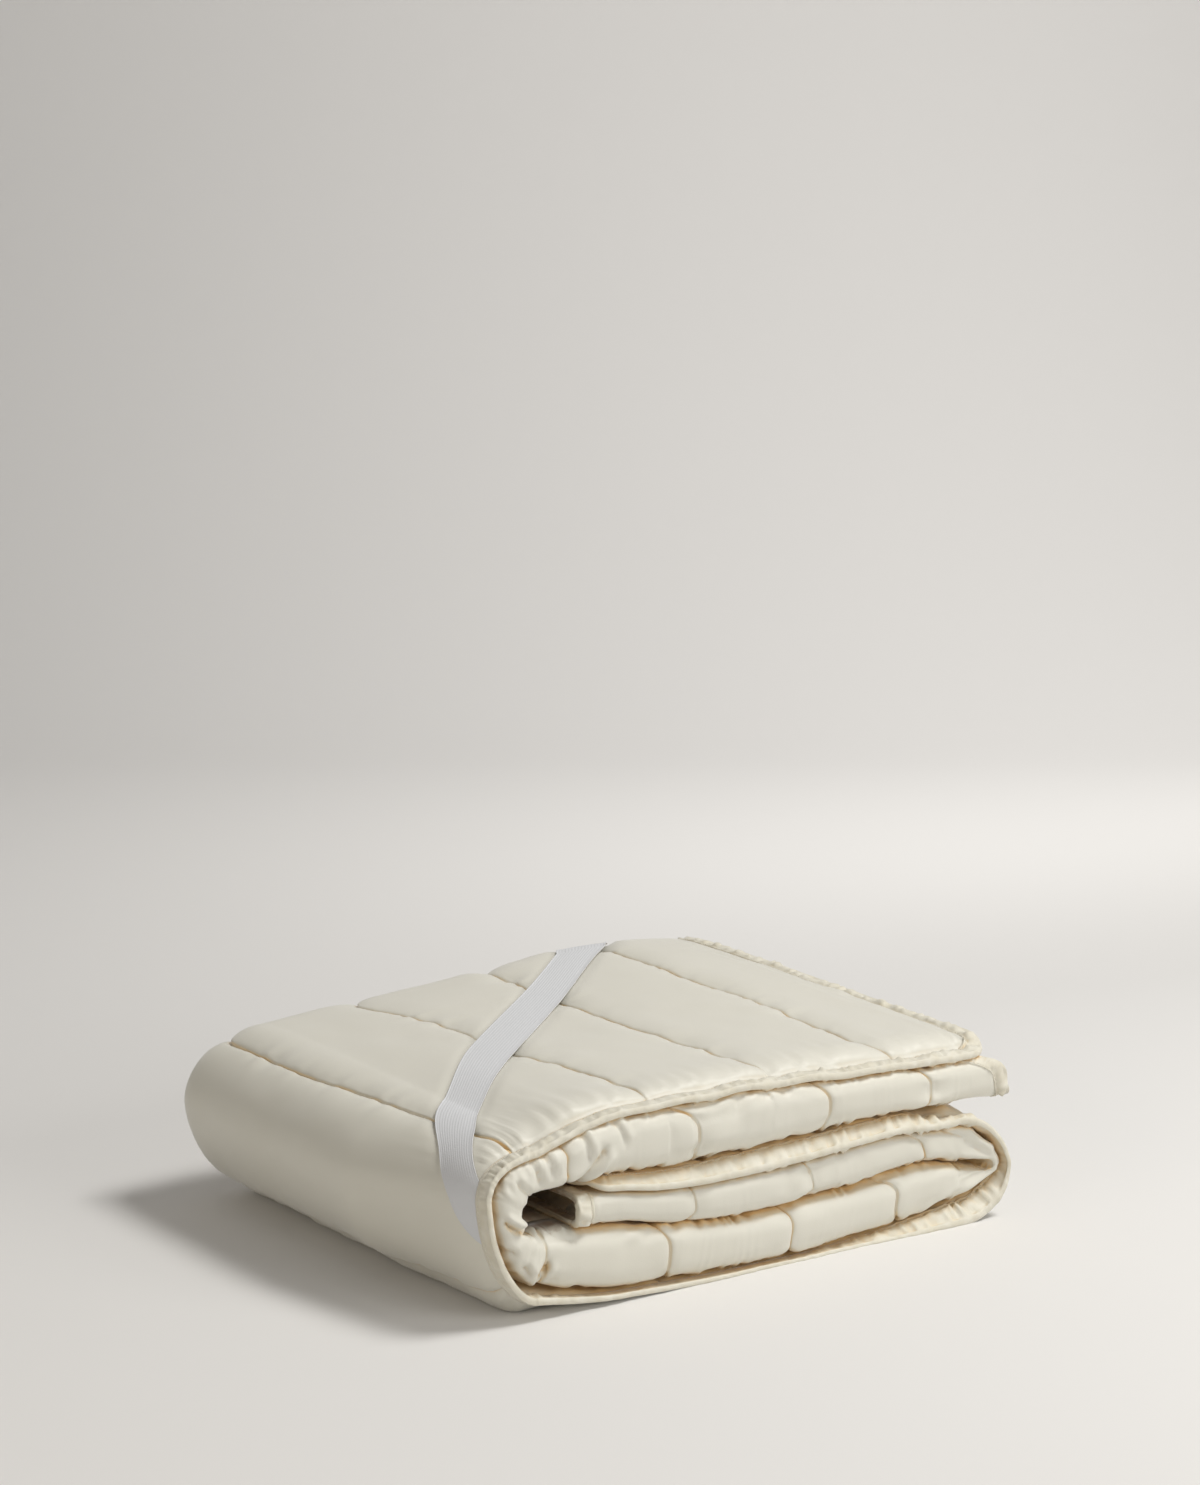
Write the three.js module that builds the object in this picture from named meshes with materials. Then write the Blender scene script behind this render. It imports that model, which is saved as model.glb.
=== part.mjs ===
// Quilted mattress protector, folded in three across its width and then rolled up lengthwise.
// Working axes, in millimetres: x runs along the stack to the right, y goes from the near edge
// to the back, z goes up from the surface that it lies on.
//
// The sheet is described by three coordinates that are laid over the folded stack:
//   station  how far along the rolled strip, from the free end on top to the end inside the roll
//   depth    which ply, from 0 on the outside of the strip to 3 on its inside
//   y        how far back
// foldedPoint() turns them into a place. The plies share their boundaries there, so none crosses
// another, and a small gap keeps them apart.
import * as THREE from 'three';

// Layers
const PLY = 19;
const GAP = 0.03;
const ROLL_GAP = 0.06;
const TURN_GAP = 0.14;
const BEND_EASE = 30;
const HEM_THICKNESS = 0.2;
const SEAM_THICKNESS = 0.4;
const HEM_WIDTH = 30;
const SEAM_ROUNDING = 34;
const RUN_CLEARANCE = 0.9;
const BEDDED = 1.8;

// Free edges: how far a thin edge lies off the middle of its ply, as a share of the ply, and how
// far the weight on it turns over from the top run to the bottom run
const EDGE_SHIFT = 0.4;
const FALL_TURNOVER = 1.6;

// Strip: top run, roll on the left, bottom run, tight turn on the right, middle run
const TOP_START = 580;
const ROLL_X = 4;
const TOP_LENGTH = TOP_START - ROLL_X;
const ROLL_LENGTH = 270;
const BOTTOM_LENGTH = 493;
const TURN_LENGTH = 150;
const MIDDLE_LENGTH = 497;
const ROLL_FROM = TOP_LENGTH;
const BOTTOM_FROM = ROLL_FROM + ROLL_LENGTH;
const TURN_FROM = BOTTOM_FROM + BOTTOM_LENGTH;
const MIDDLE_FROM = TURN_FROM + TURN_LENGTH;

// Folds across the width
const NEAR_FOLD = { y: 18, reach: 27 };
const FAR_FOLD = { y: 468, reach: 38, length: 95 };
const FOLD_POWER = 2.5;
const INNER_EDGE_Y = 478;
const INSIDE_BEND = 3;
const CORNER_RADIUS = 32;

// Heights of the layer boundaries, from the roll on the left to the turn on the right.
// floor: underside at the near edge, low: top of the bottom ply, crease: where the bottom and
// middle runs meet, shelf and split: underside and top of the middle run's outer ply,
// under: underside of the top ply, near and far: top of the stack at its front and back
const LEVELS = [
  { x: 4, floor: 15, low: 31, crease: 84, shelf: 101, split: 112, under: 150, near: 168, far: 175 },
  { x: 60, floor: 8, low: 18, crease: 75, shelf: 106, split: 117, under: 167, near: 184, far: 179 },
  { x: 160, floor: 3, low: 12, crease: 60, shelf: 97, split: 114, under: 173, near: 189, far: 187 },
  { x: 260, floor: 1, low: 10, crease: 55, shelf: 95, split: 115, under: 170, near: 189, far: 195 },
  { x: 370, floor: 0, low: 12, crease: 58, shelf: 101, split: 118, under: 167, near: 188, far: 206 },
  { x: 460, floor: 0, low: 18, crease: 64, shelf: 103, split: 119, under: 163, near: 185, far: 205 },
  { x: 580, floor: 0, low: 30, crease: 42, shelf: 90, split: 116, under: 163, near: 186, far: 192 },
];
// The stack's crown at the back: its depth, and the share of it that the lower boundaries take
const CROWN_DEPTH = 455;
const CROWN_SHARE = { under: 0.8, split: 0.25, shelf: 0.2 };
const FLOOR_LIFT_DEPTH = 32;

// Roll: reach to the left at depth 0, 1 and 3, and height of the leftmost point at depth 0 and 3
const ROLL_NEAR = { outer: 57, second: 46, inner: 11, widest: 120, hollow: 97 };
const ROLL_DEEP = { outer: 92, second: 73, inner: 18, widest: 103, hollow: 96 };
const ROLL_TAPER = 180;
const ROLL_SECOND_DROP = 2;
const ROLL_UPPER_POWER = 2;
const ROLL_LOWER_POWER = 1.75;

// Turn: where it starts and its tip at depth 0, 1 and 3
const TURN_START = { outer: 497, second: 492, inner: 505 };
const TURN_TIP_NEAR = { outer: 562, second: 557, inner: 535 };
const TURN_TIP_DEEP = { outer: 566, second: 553, inner: 526 };
const TURN_TIP_HEIGHT = 51;
const TURN_POWER = { outerLow: 2.3, outerHigh: 1.5, innerLow: 1.55, innerHigh: 1.6 };
const TURN_FILL_DEPTH = 70;

// Sewn channels: the place of each seam on the outer ply, on the upper and lower side of the
// near fold, and at the fold's nose, as a run and an x, or as an angle round the roll
const SEAMS = [
  { run: 'top', outer: 546, upper: 537, nose: 560, lower: 572 },
  { run: 'top', outer: 405, upper: 447, nose: 462, lower: 454 },
  { run: 'top', outer: 265, upper: 318, nose: 335, lower: 328 },
  { run: 'top', outer: 128, upper: 149, nose: 181, lower: 179 },
  { run: 'roll', outer: 33, upper: -16, nose: -20, lower: -22 },
  { run: 'roll', outer: 150, upper: 183, nose: 185, lower: 186 },
  { run: 'bottom', outer: 150, upper: 150, nose: 148, lower: 137 },
  { run: 'bottom', outer: 315, upper: 292, nose: 290, lower: 280 },
  { run: 'bottom', outer: 478, upper: 433, nose: 420, lower: 397 },
  { run: 'middle', outer: 465, upper: 428, nose: 452, lower: 458 },
  { run: 'middle', outer: 336, upper: 304, nose: 314, lower: 314 },
  { run: 'middle', outer: 200, upper: 175, nose: 177, lower: 166 },
  { run: 'middle', outer: 60, upper: 52, nose: 48, lower: 50 },
];
const CHANNELS = SEAMS.length - 1;

// Edge binding, and how far inside the edge its direction is taken, in u and in w
const BINDING = { width: 4.6, thickness: 3.8, clearance: 0.35, sides: 4, insideU: 0.036, insideW: 0.012 };

// Elastic strap: distance across the sheet of its back and front edges, from the end that is
// tucked under the far fold, over the top and down the roll to the end sewn at the near hem
const STRAP = { thickness: 1.3, clearance: 1.5, sewn: 0.35, sewnLength: 25 };
const STRAP_MESH = { across: 8, overFold: 12, overFoldTo: 330 };
const STRAP_PATH = [
  { run: 'top', place: 430, back: 542, front: 483 },
  { run: 'top', place: 304, back: 427, front: 368 },
  { run: 'top', place: 95, back: 245, front: 180 },
  { run: 'top', place: 10, back: 153, front: 97 },
  { run: 'roll', place: 20, back: 119, front: 60 },
  { run: 'roll', place: 48, back: 74, front: 31 },
  { run: 'roll', place: 75, back: 50, front: 12 },
  { run: 'roll', place: 100, back: 35, front: 8 },
  { run: 'roll', place: 119, back: 14, front: 8 },
];

// Mesh: columns along the strip between two seams, with the first and last close beside them
const SEAM_COLUMN = 0.05;
const COLUMNS = { straight: 3, bend: 7, roll: 10, turn: 14 };
// Mesh: rows round each fold, and rows across the plies by their distance back
const FOLD_ROWS = { far: 5, near: 7 };
const SHARED_ROWS = [94, ROLL_TAPER, 324];
const OUTER_ROWS = [5, 14, 37, ...SHARED_ROWS, 400];
const INNER_ROWS = [...SHARED_ROWS, 441, 462, 473];

// Helpers
const lerp = (a, b, f) => a + (b - a) * f;
const clamp01 = (f) => Math.min(1, Math.max(0, f));

function smooth(f) {
  const c = clamp01(f);
  return c * c * (3 - 2 * c);
}

/** Three values given at depth 0, 1 and 3, read at any depth. */
function atDepth(outer, second, inner, depth) {
  return depth < 1 ? lerp(outer, second, depth) : lerp(second, inner, (depth - 1) / 2);
}

/** One column of a table whose rows have an x each, joined by a smooth curve. */
function curveAt(rows, column, x) {
  const last = rows.length - 1;
  let i = 0;
  while (i < last - 1 && x > rows[i + 1].x) i += 1;
  const here = rows[i];
  const next = rows[i + 1];
  const before = rows[Math.max(i - 1, 0)];
  const after = rows[Math.min(i + 2, last)];
  const width = next.x - here.x;
  const slopeHere = ((next[column] - before[column]) / (next.x - before.x)) * width;
  const slopeNext = ((after[column] - here[column]) / (after.x - here.x)) * width;
  const f = clamp01((x - here.x) / width);
  const rise = here[column] - next[column];
  const cubic = 2 * rise + slopeHere + slopeNext;
  const square = -3 * rise - 2 * slopeHere - slopeNext;
  return ((cubic * f + square) * f + slopeHere) * f + here[column];
}

const levelAt = (column, x) => curveAt(LEVELS, column, x);

/** A point on one quarter of a rounded outline, from its side (0) to its end (1). */
function quarter(angle, power) {
  return {
    across: Math.abs(Math.cos(angle)) ** (2 / power),
    along: Math.abs(Math.sin(angle)) ** (2 / power),
  };
}

// The folded stack
function crown(x, y) {
  return (levelAt('far', x) - levelAt('near', x)) * smooth(y / CROWN_DEPTH);
}

function topHeight(x, depth, y) {
  const swell = crown(x, y);
  return atDepth(
    levelAt('near', x) + swell,
    levelAt('under', x) + CROWN_SHARE.under * swell,
    levelAt('split', x) + CROWN_SHARE.split * swell + RUN_CLEARANCE,
    depth,
  );
}

function middleHeight(x, depth, y) {
  const swell = crown(x, y);
  return atDepth(
    levelAt('split', x) + CROWN_SHARE.split * swell - RUN_CLEARANCE,
    levelAt('shelf', x) + CROWN_SHARE.shelf * swell,
    levelAt('crease', x) + RUN_CLEARANCE,
    depth,
  );
}

function bottomHeight(x, depth, y) {
  const lift = levelAt('floor', x) * (1 - smooth(y / FLOOR_LIFT_DEPTH));
  return atDepth(lift - BEDDED, levelAt('low', x), levelAt('crease', x) - RUN_CLEARANCE, depth);
}

function rollPoint(angle, depth, y) {
  const back = clamp01(y / ROLL_TAPER);
  const size = (name) => lerp(ROLL_NEAR[name], ROLL_DEEP[name], back);
  const reach = atDepth(size('outer'), size('second'), size('inner'), depth);
  const widest = atDepth(size('widest'), size('widest') - ROLL_SECOND_DROP, size('hollow'), depth);
  const upper = Math.cos(angle) > 0;
  const end = upper ? topHeight(ROLL_X, depth, y) : bottomHeight(ROLL_X, depth, y);
  const { across, along } = quarter(angle, upper ? ROLL_UPPER_POWER : ROLL_LOWER_POWER);
  return { x: ROLL_X - reach * along, z: lerp(widest, end, across) };
}

function turnPoint(angle, depth, y) {
  const fill = smooth(y / TURN_FILL_DEPTH);
  const tip = (name) => lerp(TURN_TIP_NEAR[name], TURN_TIP_DEEP[name], fill);
  const start = atDepth(TURN_START.outer, TURN_START.second, TURN_START.inner, depth);
  const reach = atDepth(tip('outer'), tip('second'), tip('inner'), depth) - start;
  const lower = Math.cos(angle) > 0;
  const power = lower
    ? lerp(TURN_POWER.outerLow, TURN_POWER.innerLow, clamp01(depth))
    : lerp(TURN_POWER.outerHigh, TURN_POWER.innerHigh, clamp01(depth));
  const end = lower ? bottomHeight(start, depth, y) : middleHeight(start, depth, y);
  const { across, along } = quarter(angle, power);
  return { x: start + reach * along, z: lerp(TURN_TIP_HEIGHT, end, across) };
}

/** Place of a station, depth and y in the stack. */
function foldedPoint(station, depth, y) {
  let place;
  if (station < ROLL_FROM) {
    const x = TOP_START - station;
    place = { x, z: topHeight(x, depth, y) };
  } else if (station < BOTTOM_FROM) {
    place = rollPoint((Math.PI * (station - ROLL_FROM)) / ROLL_LENGTH, depth, y);
  } else if (station < TURN_FROM) {
    const start = atDepth(TURN_START.outer, TURN_START.second, TURN_START.inner, depth);
    const x = lerp(ROLL_X, start, (station - BOTTOM_FROM) / BOTTOM_LENGTH);
    place = { x, z: bottomHeight(x, depth, y) };
  } else if (station < MIDDLE_FROM) {
    place = turnPoint((Math.PI * (station - TURN_FROM)) / TURN_LENGTH, depth, y);
  } else {
    const start = atDepth(TURN_START.outer, TURN_START.second, TURN_START.inner, depth);
    const x = lerp(start, 0, (station - MIDDLE_FROM) / MIDDLE_LENGTH);
    place = { x, z: middleHeight(x, depth, y) };
  }
  return new THREE.Vector3(place.x, y, Math.max(place.z, 0));
}

/** Station of an x on a run, or of an angle in degrees round the roll. */
function stationOf(run, place, depth) {
  const start = atDepth(TURN_START.outer, TURN_START.second, TURN_START.inner, depth);
  if (run === 'top') return TOP_START - place;
  if (run === 'roll') return ROLL_FROM + (place / 180) * ROLL_LENGTH;
  if (run === 'bottom') return BOTTOM_FROM + ((place - ROLL_X) / (start - ROLL_X)) * BOTTOM_LENGTH;
  return MIDDLE_FROM + ((start - place) / start) * MIDDLE_LENGTH;
}

// The sheet: u counts channels along the strip, w goes across the width.
// w 0 to 1 is the outer ply, 1 to 2 the far fold, 2 to 3 the second ply, 3 to 4 the near fold
// and 4 to 5 the inner ply. face is 0 on the side that starts outside and 1 on the other.
function acrossWidth(w, face, gap) {
  const part = Math.min(Math.floor(w), 4);
  const f = w - part;
  const open = lerp(gap, 1 - gap, face);
  const shut = lerp(1 - gap, gap, face);
  if (part === 0) return { y: f * FAR_FOLD.y, depth: open };
  const bend = quarter(f * Math.PI, FOLD_POWER);
  const turned = f < 0.5 ? -bend.across : bend.across;
  if (part === 1) {
    const reach = lerp(FAR_FOLD.reach, INSIDE_BEND, face);
    return { y: FAR_FOLD.y + reach * bend.along, depth: 1 + shut * turned };
  }
  if (part === 2) return { y: lerp(FAR_FOLD.y, NEAR_FOLD.y, f), depth: 1 + shut };
  if (part === 3) {
    const reach = lerp(INSIDE_BEND, NEAR_FOLD.reach, face);
    return { y: NEAR_FOLD.y - reach * bend.along, depth: 2 + open * turned };
  }
  return { y: lerp(NEAR_FOLD.y, INNER_EDGE_Y, f), depth: 2 + open };
}

/** How far the rounded corners of the sheet hold its ends back. */
function cornerSetback(w) {
  const fromEdge = w < 1 ? w * FAR_FOLD.y : (5 - w) * (INNER_EDGE_Y - NEAR_FOLD.y);
  const inside = Math.max(CORNER_RADIUS - fromEdge, 0);
  return CORNER_RADIUS - Math.sqrt(CORNER_RADIUS ** 2 - Math.min(inside, CORNER_RADIUS) ** 2);
}

/** Station of seam number i at w. */
function seamStation(i, w) {
  const seam = SEAMS[i];
  const outer = stationOf(seam.run, seam.outer, 0.5);
  const upper = stationOf(seam.run, seam.upper, 1.5);
  const nose = stationOf(seam.run, seam.nose, 2);
  const lower = stationOf(seam.run, seam.lower, 2.5);
  const back = lerp(outer, upper, 0.5);
  let station = lower;
  if (w < 1) station = outer;
  else if (w < 2) station = lerp(outer, back, smooth(w - 1));
  else if (w < 3) station = lerp(back, upper, smooth(w - 2));
  else if (w < 3.5) station = lerp(upper, nose, smooth((w - 3) * 2));
  else if (w < 4) station = lerp(nose, lower, smooth((w - 3.5) * 2));
  if (i === 0) station += cornerSetback(w);
  if (i === CHANNELS) station -= cornerSetback(w);
  return station;
}

/** Station at u and w: a rising curve through the seams. */
function stationAt(u, w) {
  const i = Math.min(Math.floor(u), CHANNELS - 1);
  const f = u - i;
  const here = seamStation(i, w);
  const next = seamStation(i + 1, w);
  const step = next - here;
  const before = i > 0 ? here - seamStation(i - 1, w) : step;
  const after = i < CHANNELS - 1 ? seamStation(i + 2, w) - next : step;
  const slopeHere = (2 * before * step) / (before + step);
  const slopeNext = (2 * step * after) / (step + after);
  const cubic = slopeHere + slopeNext - 2 * step;
  const square = 3 * step - 2 * slopeHere - slopeNext;
  return ((cubic * f + square) * f + slopeHere) * f + here;
}

/** Rounded rise from a sewn line, 0 on the line and 1 where the filling is full. */
function puff(distance, rounding) {
  const f = clamp01(distance / rounding);
  return Math.sqrt(1 - (1 - f) ** 2);
}

/** Weight of the stack on a free edge: 1 falls towards the inside, -1 towards the outside. */
function edgeFall(station) {
  const intoBottom = smooth((station - ROLL_FROM) / ROLL_LENGTH);
  const outOfBottom = smooth((station - TURN_FROM) / TURN_LENGTH);
  return 1 - FALL_TURNOVER * (intoBottom - outOfBottom);
}

/** How far an end lies towards the open side of the folds that it crosses. */
function endSpread(w) {
  const stops = [0, -1, -1, 1, 1, 0];
  const part = Math.min(Math.floor(w), 4);
  return EDGE_SHIFT * lerp(stops[part], stops[part + 1], w - part);
}

/** Gap beside a ply: wider where the strip bends. */
function gapAt(station) {
  const inRoll = Math.min(station - ROLL_FROM, BOTTOM_FROM - station);
  const inTurn = Math.min(station - TURN_FROM, MIDDLE_FROM - station);
  const rollGap = lerp(GAP, ROLL_GAP, smooth(1 + inRoll / BEND_EASE));
  const turnGap = lerp(GAP, TURN_GAP, smooth(1 + inTurn / BEND_EASE));
  return Math.max(rollGap, turnGap);
}

/** A point of the sheet, or above its face by a lift in plies, for fillings from 0 to 1. */
function layerPoint(station, w, fill, side, lift = 0) {
  const toEdge = w < 1 ? w * FAR_FOLD.y : (5 - w) * (INNER_EDGE_Y - NEAR_FOLD.y);
  const edgePuff = lerp(HEM_THICKNESS, 1, puff(toEdge, HEM_WIDTH));
  const thickness = fill.channel * Math.min(fill.end, edgePuff);
  const fall = w < 1 ? EDGE_SHIFT * edgeFall(station) * (1 - edgePuff) : 0;
  const spread = endSpread(w) * (1 - fill.end);
  const face = 0.5 + fall + spread + side * (thickness / 2 + lift);
  const { y, depth } = acrossWidth(w, face, gapAt(station));
  return foldedPoint(station, depth, y);
}

/** A point of the quilted sheet. side is -1 on its first face, 1 on its second, 0 between. */
function sheetPoint(u, w, side) {
  const channel = Math.min(Math.floor(u), CHANNELS - 1);
  const station = stationAt(u, w);
  const spacing = seamStation(channel + 1, w) - seamStation(channel, w);
  const toSeam = Math.min(u - channel, channel + 1 - u) * spacing;
  const toEnd = Math.min(u, CHANNELS - u) * spacing;
  const fill = {
    channel: lerp(SEAM_THICKNESS, 1, puff(toSeam, SEAM_ROUNDING)),
    end: lerp(HEM_THICKNESS, 1, puff(toEnd, HEM_WIDTH)),
  };
  return layerPoint(station, w, fill, side);
}

// Meshes
/** Closed slab over a grid of columns and rows, with its two faces and its rim. */
function slabGeometry(columns, rows, pointAt) {
  const positions = [];
  for (const side of [-1, 1]) {
    for (const u of columns) {
      for (const w of rows) positions.push(...pointAt(u, w, side).toArray());
    }
  }
  const faceSize = columns.length * rows.length;
  const at = (face, i, j) => face * faceSize + i * rows.length + j;
  const index = [];
  const quad = (a, b, c, d) => index.push(a, b, c, a, c, d);
  const lastColumn = columns.length - 1;
  const lastRow = rows.length - 1;
  for (let i = 0; i < lastColumn; i += 1) {
    for (let j = 0; j < lastRow; j += 1) {
      quad(at(0, i, j), at(0, i, j + 1), at(0, i + 1, j + 1), at(0, i + 1, j));
      quad(at(1, i, j), at(1, i + 1, j), at(1, i + 1, j + 1), at(1, i, j + 1));
    }
    quad(at(0, i, 0), at(0, i + 1, 0), at(1, i + 1, 0), at(1, i, 0));
    quad(at(0, i, lastRow), at(1, i, lastRow), at(1, i + 1, lastRow), at(0, i + 1, lastRow));
  }
  for (let j = 0; j < lastRow; j += 1) {
    quad(at(0, 0, j), at(1, 0, j), at(1, 0, j + 1), at(0, 0, j + 1));
    quad(at(0, lastColumn, j), at(0, lastColumn, j + 1), at(1, lastColumn, j + 1), at(1, lastColumn, j));
  }
  return closedGeometry(positions, index);
}

/** Closed ring of sections, each a loop of points. */
function ringGeometry(sections) {
  const sides = sections[0].length;
  const positions = sections.flat().flatMap((point) => point.toArray());
  const index = [];
  sections.forEach((section, i) => {
    const here = i * sides;
    const next = ((i + 1) % sections.length) * sides;
    for (let k = 0; k < sides; k += 1) {
      const after = (k + 1) % sides;
      index.push(here + k, next + k, next + after, here + k, next + after, here + after);
    }
  });
  return closedGeometry(positions, index);
}

/** Geometry with its faces pointing out, whichever way its grid ran. */
function closedGeometry(positions, index) {
  let volume = 0;
  const corner = (i) => new THREE.Vector3().fromArray(positions, index[i] * 3);
  for (let i = 0; i < index.length; i += 3) {
    volume += corner(i).dot(corner(i + 1).cross(corner(i + 2)));
  }
  if (volume < 0) index.reverse();
  const geometry = new THREE.BufferGeometry();
  geometry.setAttribute('position', new THREE.Float32BufferAttribute(positions, 3));
  geometry.setIndex(index);
  geometry.computeVertexNormals();
  return geometry;
}

/** Even steps from a to b, without b. */
function steps(a, b, count) {
  return Array.from({ length: count }, (_, i) => lerp(a, b, i / count));
}

/** How many columns a channel gets between those beside its seams. */
function columnsIn(channel) {
  const from = SEAMS[channel].run;
  const to = SEAMS[channel + 1].run;
  if (from === 'roll' && to === 'roll') return COLUMNS.roll;
  if (from === 'bottom' && to === 'middle') return COLUMNS.turn;
  if (from === 'roll' || from !== to) return COLUMNS.bend;
  return COLUMNS.straight;
}

/** Columns along the strip: closer together at the seams, and finer where it bends. */
function sheetColumns() {
  const columns = [];
  for (let channel = 0; channel < CHANNELS; channel += 1) {
    const between = steps(SEAM_COLUMN, 1 - SEAM_COLUMN, columnsIn(channel));
    columns.push(channel, ...between.map((f) => channel + f), channel + 1 - SEAM_COLUMN);
  }
  columns.push(CHANNELS);
  return columns;
}

/** Rows across the width: closer together at the hems and round the folds. */
function sheetRows() {
  const outer = OUTER_ROWS.map((y) => y / FAR_FOLD.y);
  const second = SHARED_ROWS.map((y) => 2 + (FAR_FOLD.y - y) / (FAR_FOLD.y - NEAR_FOLD.y)).reverse();
  const inner = INNER_ROWS.map((y) => 4 + (y - NEAR_FOLD.y) / (INNER_EDGE_Y - NEAR_FOLD.y));
  const farFold = steps(1, 2, FOLD_ROWS.far);
  const nearFold = steps(3, 4, FOLD_ROWS.near);
  return [0, ...outer, ...farFold, 2, ...second, ...nearFold, 4, ...inner, 5];
}

function quiltedPad(material) {
  const pad = new THREE.Mesh(slabGeometry(sheetColumns(), sheetRows(), sheetPoint), material);
  pad.name = 'quilted_pad';
  return pad;
}

/** Stops along the sheet's rim, each with a place on the edge and one a little inside it. */
function rimStops() {
  const columns = sheetColumns();
  const rows = sheetRows();
  const { insideU, insideW } = BINDING;
  return [
    ...columns.slice(0, -1).map((u) => ({ u, w: 0, inU: u, inW: insideW })),
    ...rows.slice(0, -1).map((w) => ({ u: CHANNELS, w, inU: CHANNELS - insideU, inW: w })),
    ...columns.slice(1).reverse().map((u) => ({ u, w: 5, inU: u, inW: 5 - insideW })),
    ...rows.slice(1).reverse().map((w) => ({ u: 0, w, inU: insideU, inW: w })),
  ];
}

/** The binding's section round a centre, in the plane of out and up. */
function bindingSection(centre, out, up) {
  return Array.from({ length: BINDING.sides }, (_, k) => {
    const angle = ((k + 0.5) * 2 * Math.PI) / BINDING.sides;
    return centre
      .clone()
      .addScaledVector(out, (Math.cos(angle) * BINDING.width) / 2)
      .addScaledVector(up, (Math.sin(angle) * BINDING.thickness) / 2);
  });
}

function edgeBinding(material) {
  const stops = rimStops().map((stop) => ({
    edge: sheetPoint(stop.u, stop.w, 0),
    inside: sheetPoint(stop.inU, stop.inW, 0),
    face: sheetPoint(stop.u, stop.w, 1).sub(sheetPoint(stop.u, stop.w, -1)),
  }));
  const sections = stops.map(({ edge, inside, face }, i) => {
    const before = stops[(i + stops.length - 1) % stops.length].edge;
    const after = stops[(i + 1) % stops.length].edge;
    const along = after.clone().sub(before).normalize();
    const up = face.addScaledVector(along, -face.dot(along)).normalize();
    const out = along.clone().cross(up);
    if (out.dot(edge.clone().sub(inside)) < 0) out.negate();
    const centre = edge.clone().addScaledVector(out, BINDING.clearance + BINDING.width / 2);
    return bindingSection(centre, out, up);
  });
  const binding = new THREE.Mesh(ringGeometry(sections), material);
  binding.name = 'edge_binding';
  return binding;
}

/** The strap's path as a table of stations. */
function strapRows() {
  return STRAP_PATH.map(({ run, place, back, front }) => ({
    x: stationOf(run, place, 0),
    back,
    front,
  }));
}

/** w of a distance across the sheet, on round the far fold. */
function acrossToW(distance) {
  if (distance < FAR_FOLD.y) return distance / FAR_FOLD.y;
  return 1 + (distance - FAR_FOLD.y) / FAR_FOLD.length;
}

function elasticStrap(material) {
  const rows = strapRows();
  const from = rows[0].x;
  const to = rows[rows.length - 1].x;
  const offFold = stationOf('top', STRAP_MESH.overFoldTo, 0);
  const withPad = sheetColumns()
    .map((u) => stationAt(u, 0))
    .filter((station) => station > offFold + 1 && station < to);
  const stations = [...steps(from, offFold, STRAP_MESH.overFold), offFold, ...withPad, to];
  const bands = Array.from({ length: STRAP_MESH.across + 1 }, (_, i) => i / STRAP_MESH.across);
  const full = { channel: 1, end: 1 };
  const strapPoint = (station, band, side) => {
    const distance = lerp(curveAt(rows, 'front', station), curveAt(rows, 'back', station), band);
    const clearance = lerp(STRAP.sewn, STRAP.clearance, clamp01((to - station) / STRAP.sewnLength));
    const height = clearance + (side < 0 ? STRAP.thickness : 0);
    return layerPoint(station, acrossToW(distance), full, -1, height / PLY);
  };
  const geometry = slabGeometry(stations, bands, strapPoint);
  const strap = new THREE.Mesh(geometry, material);
  strap.name = 'elastic_strap';
  return strap;
}

// Materials
const cloth = (color, roughness) => new THREE.MeshStandardMaterial({ color, roughness, metalness: 0 });
const cotton = cloth(0xe6e0d2, 0.6);
const bindingCloth = cloth(0xe0d6c2, 0.65);
const elastic = cloth(0xd6d7da, 0.8);

// Assembly, with its origin at the bottom centre of its box
const protector = new THREE.Group();
protector.add(quiltedPad(cotton), edgeBinding(bindingCloth), elasticStrap(elastic));

const box = new THREE.Box3().setFromObject(protector, true);
const middle = box.getCenter(new THREE.Vector3());
protector.position.set(-middle.x, -middle.y, -box.min.z);

export default protector;
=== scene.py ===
"""Quilted mattress protector, folded in three and rolled up lengthwise: the dressed scene.

Working axes in millimetres: x runs along the stack to the right, y goes from the near edge to
the back and z goes up. Meshes are made there and moved into the part's frame, in metres.
The sheet has u, its sewn channels counted from the free end on top, and w, which goes across:
0 to 1 outer ply, 1 to 2 far fold, 2 to 3 second ply, 3 to 4 near fold, 4 to 5 inner ply.
"""
import math

import bpy
import numpy as np
from mathutils import Euler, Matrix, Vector
from mathutils.bvhtree import BVHTree


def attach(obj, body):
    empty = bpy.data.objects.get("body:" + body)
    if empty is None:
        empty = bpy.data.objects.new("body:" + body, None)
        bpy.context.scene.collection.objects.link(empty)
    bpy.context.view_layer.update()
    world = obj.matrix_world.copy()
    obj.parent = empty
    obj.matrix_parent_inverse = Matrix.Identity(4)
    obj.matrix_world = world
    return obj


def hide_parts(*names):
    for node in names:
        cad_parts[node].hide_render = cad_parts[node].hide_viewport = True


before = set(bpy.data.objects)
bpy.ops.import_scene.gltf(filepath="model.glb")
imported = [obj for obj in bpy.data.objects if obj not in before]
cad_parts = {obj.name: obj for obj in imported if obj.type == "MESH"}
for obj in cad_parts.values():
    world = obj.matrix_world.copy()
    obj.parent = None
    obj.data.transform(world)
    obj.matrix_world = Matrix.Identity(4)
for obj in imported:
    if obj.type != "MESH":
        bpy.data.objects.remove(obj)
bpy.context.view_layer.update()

# Places
MM = 0.001
PART_ORIGIN = np.array([244.713, 251.265, 0.0])

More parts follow.
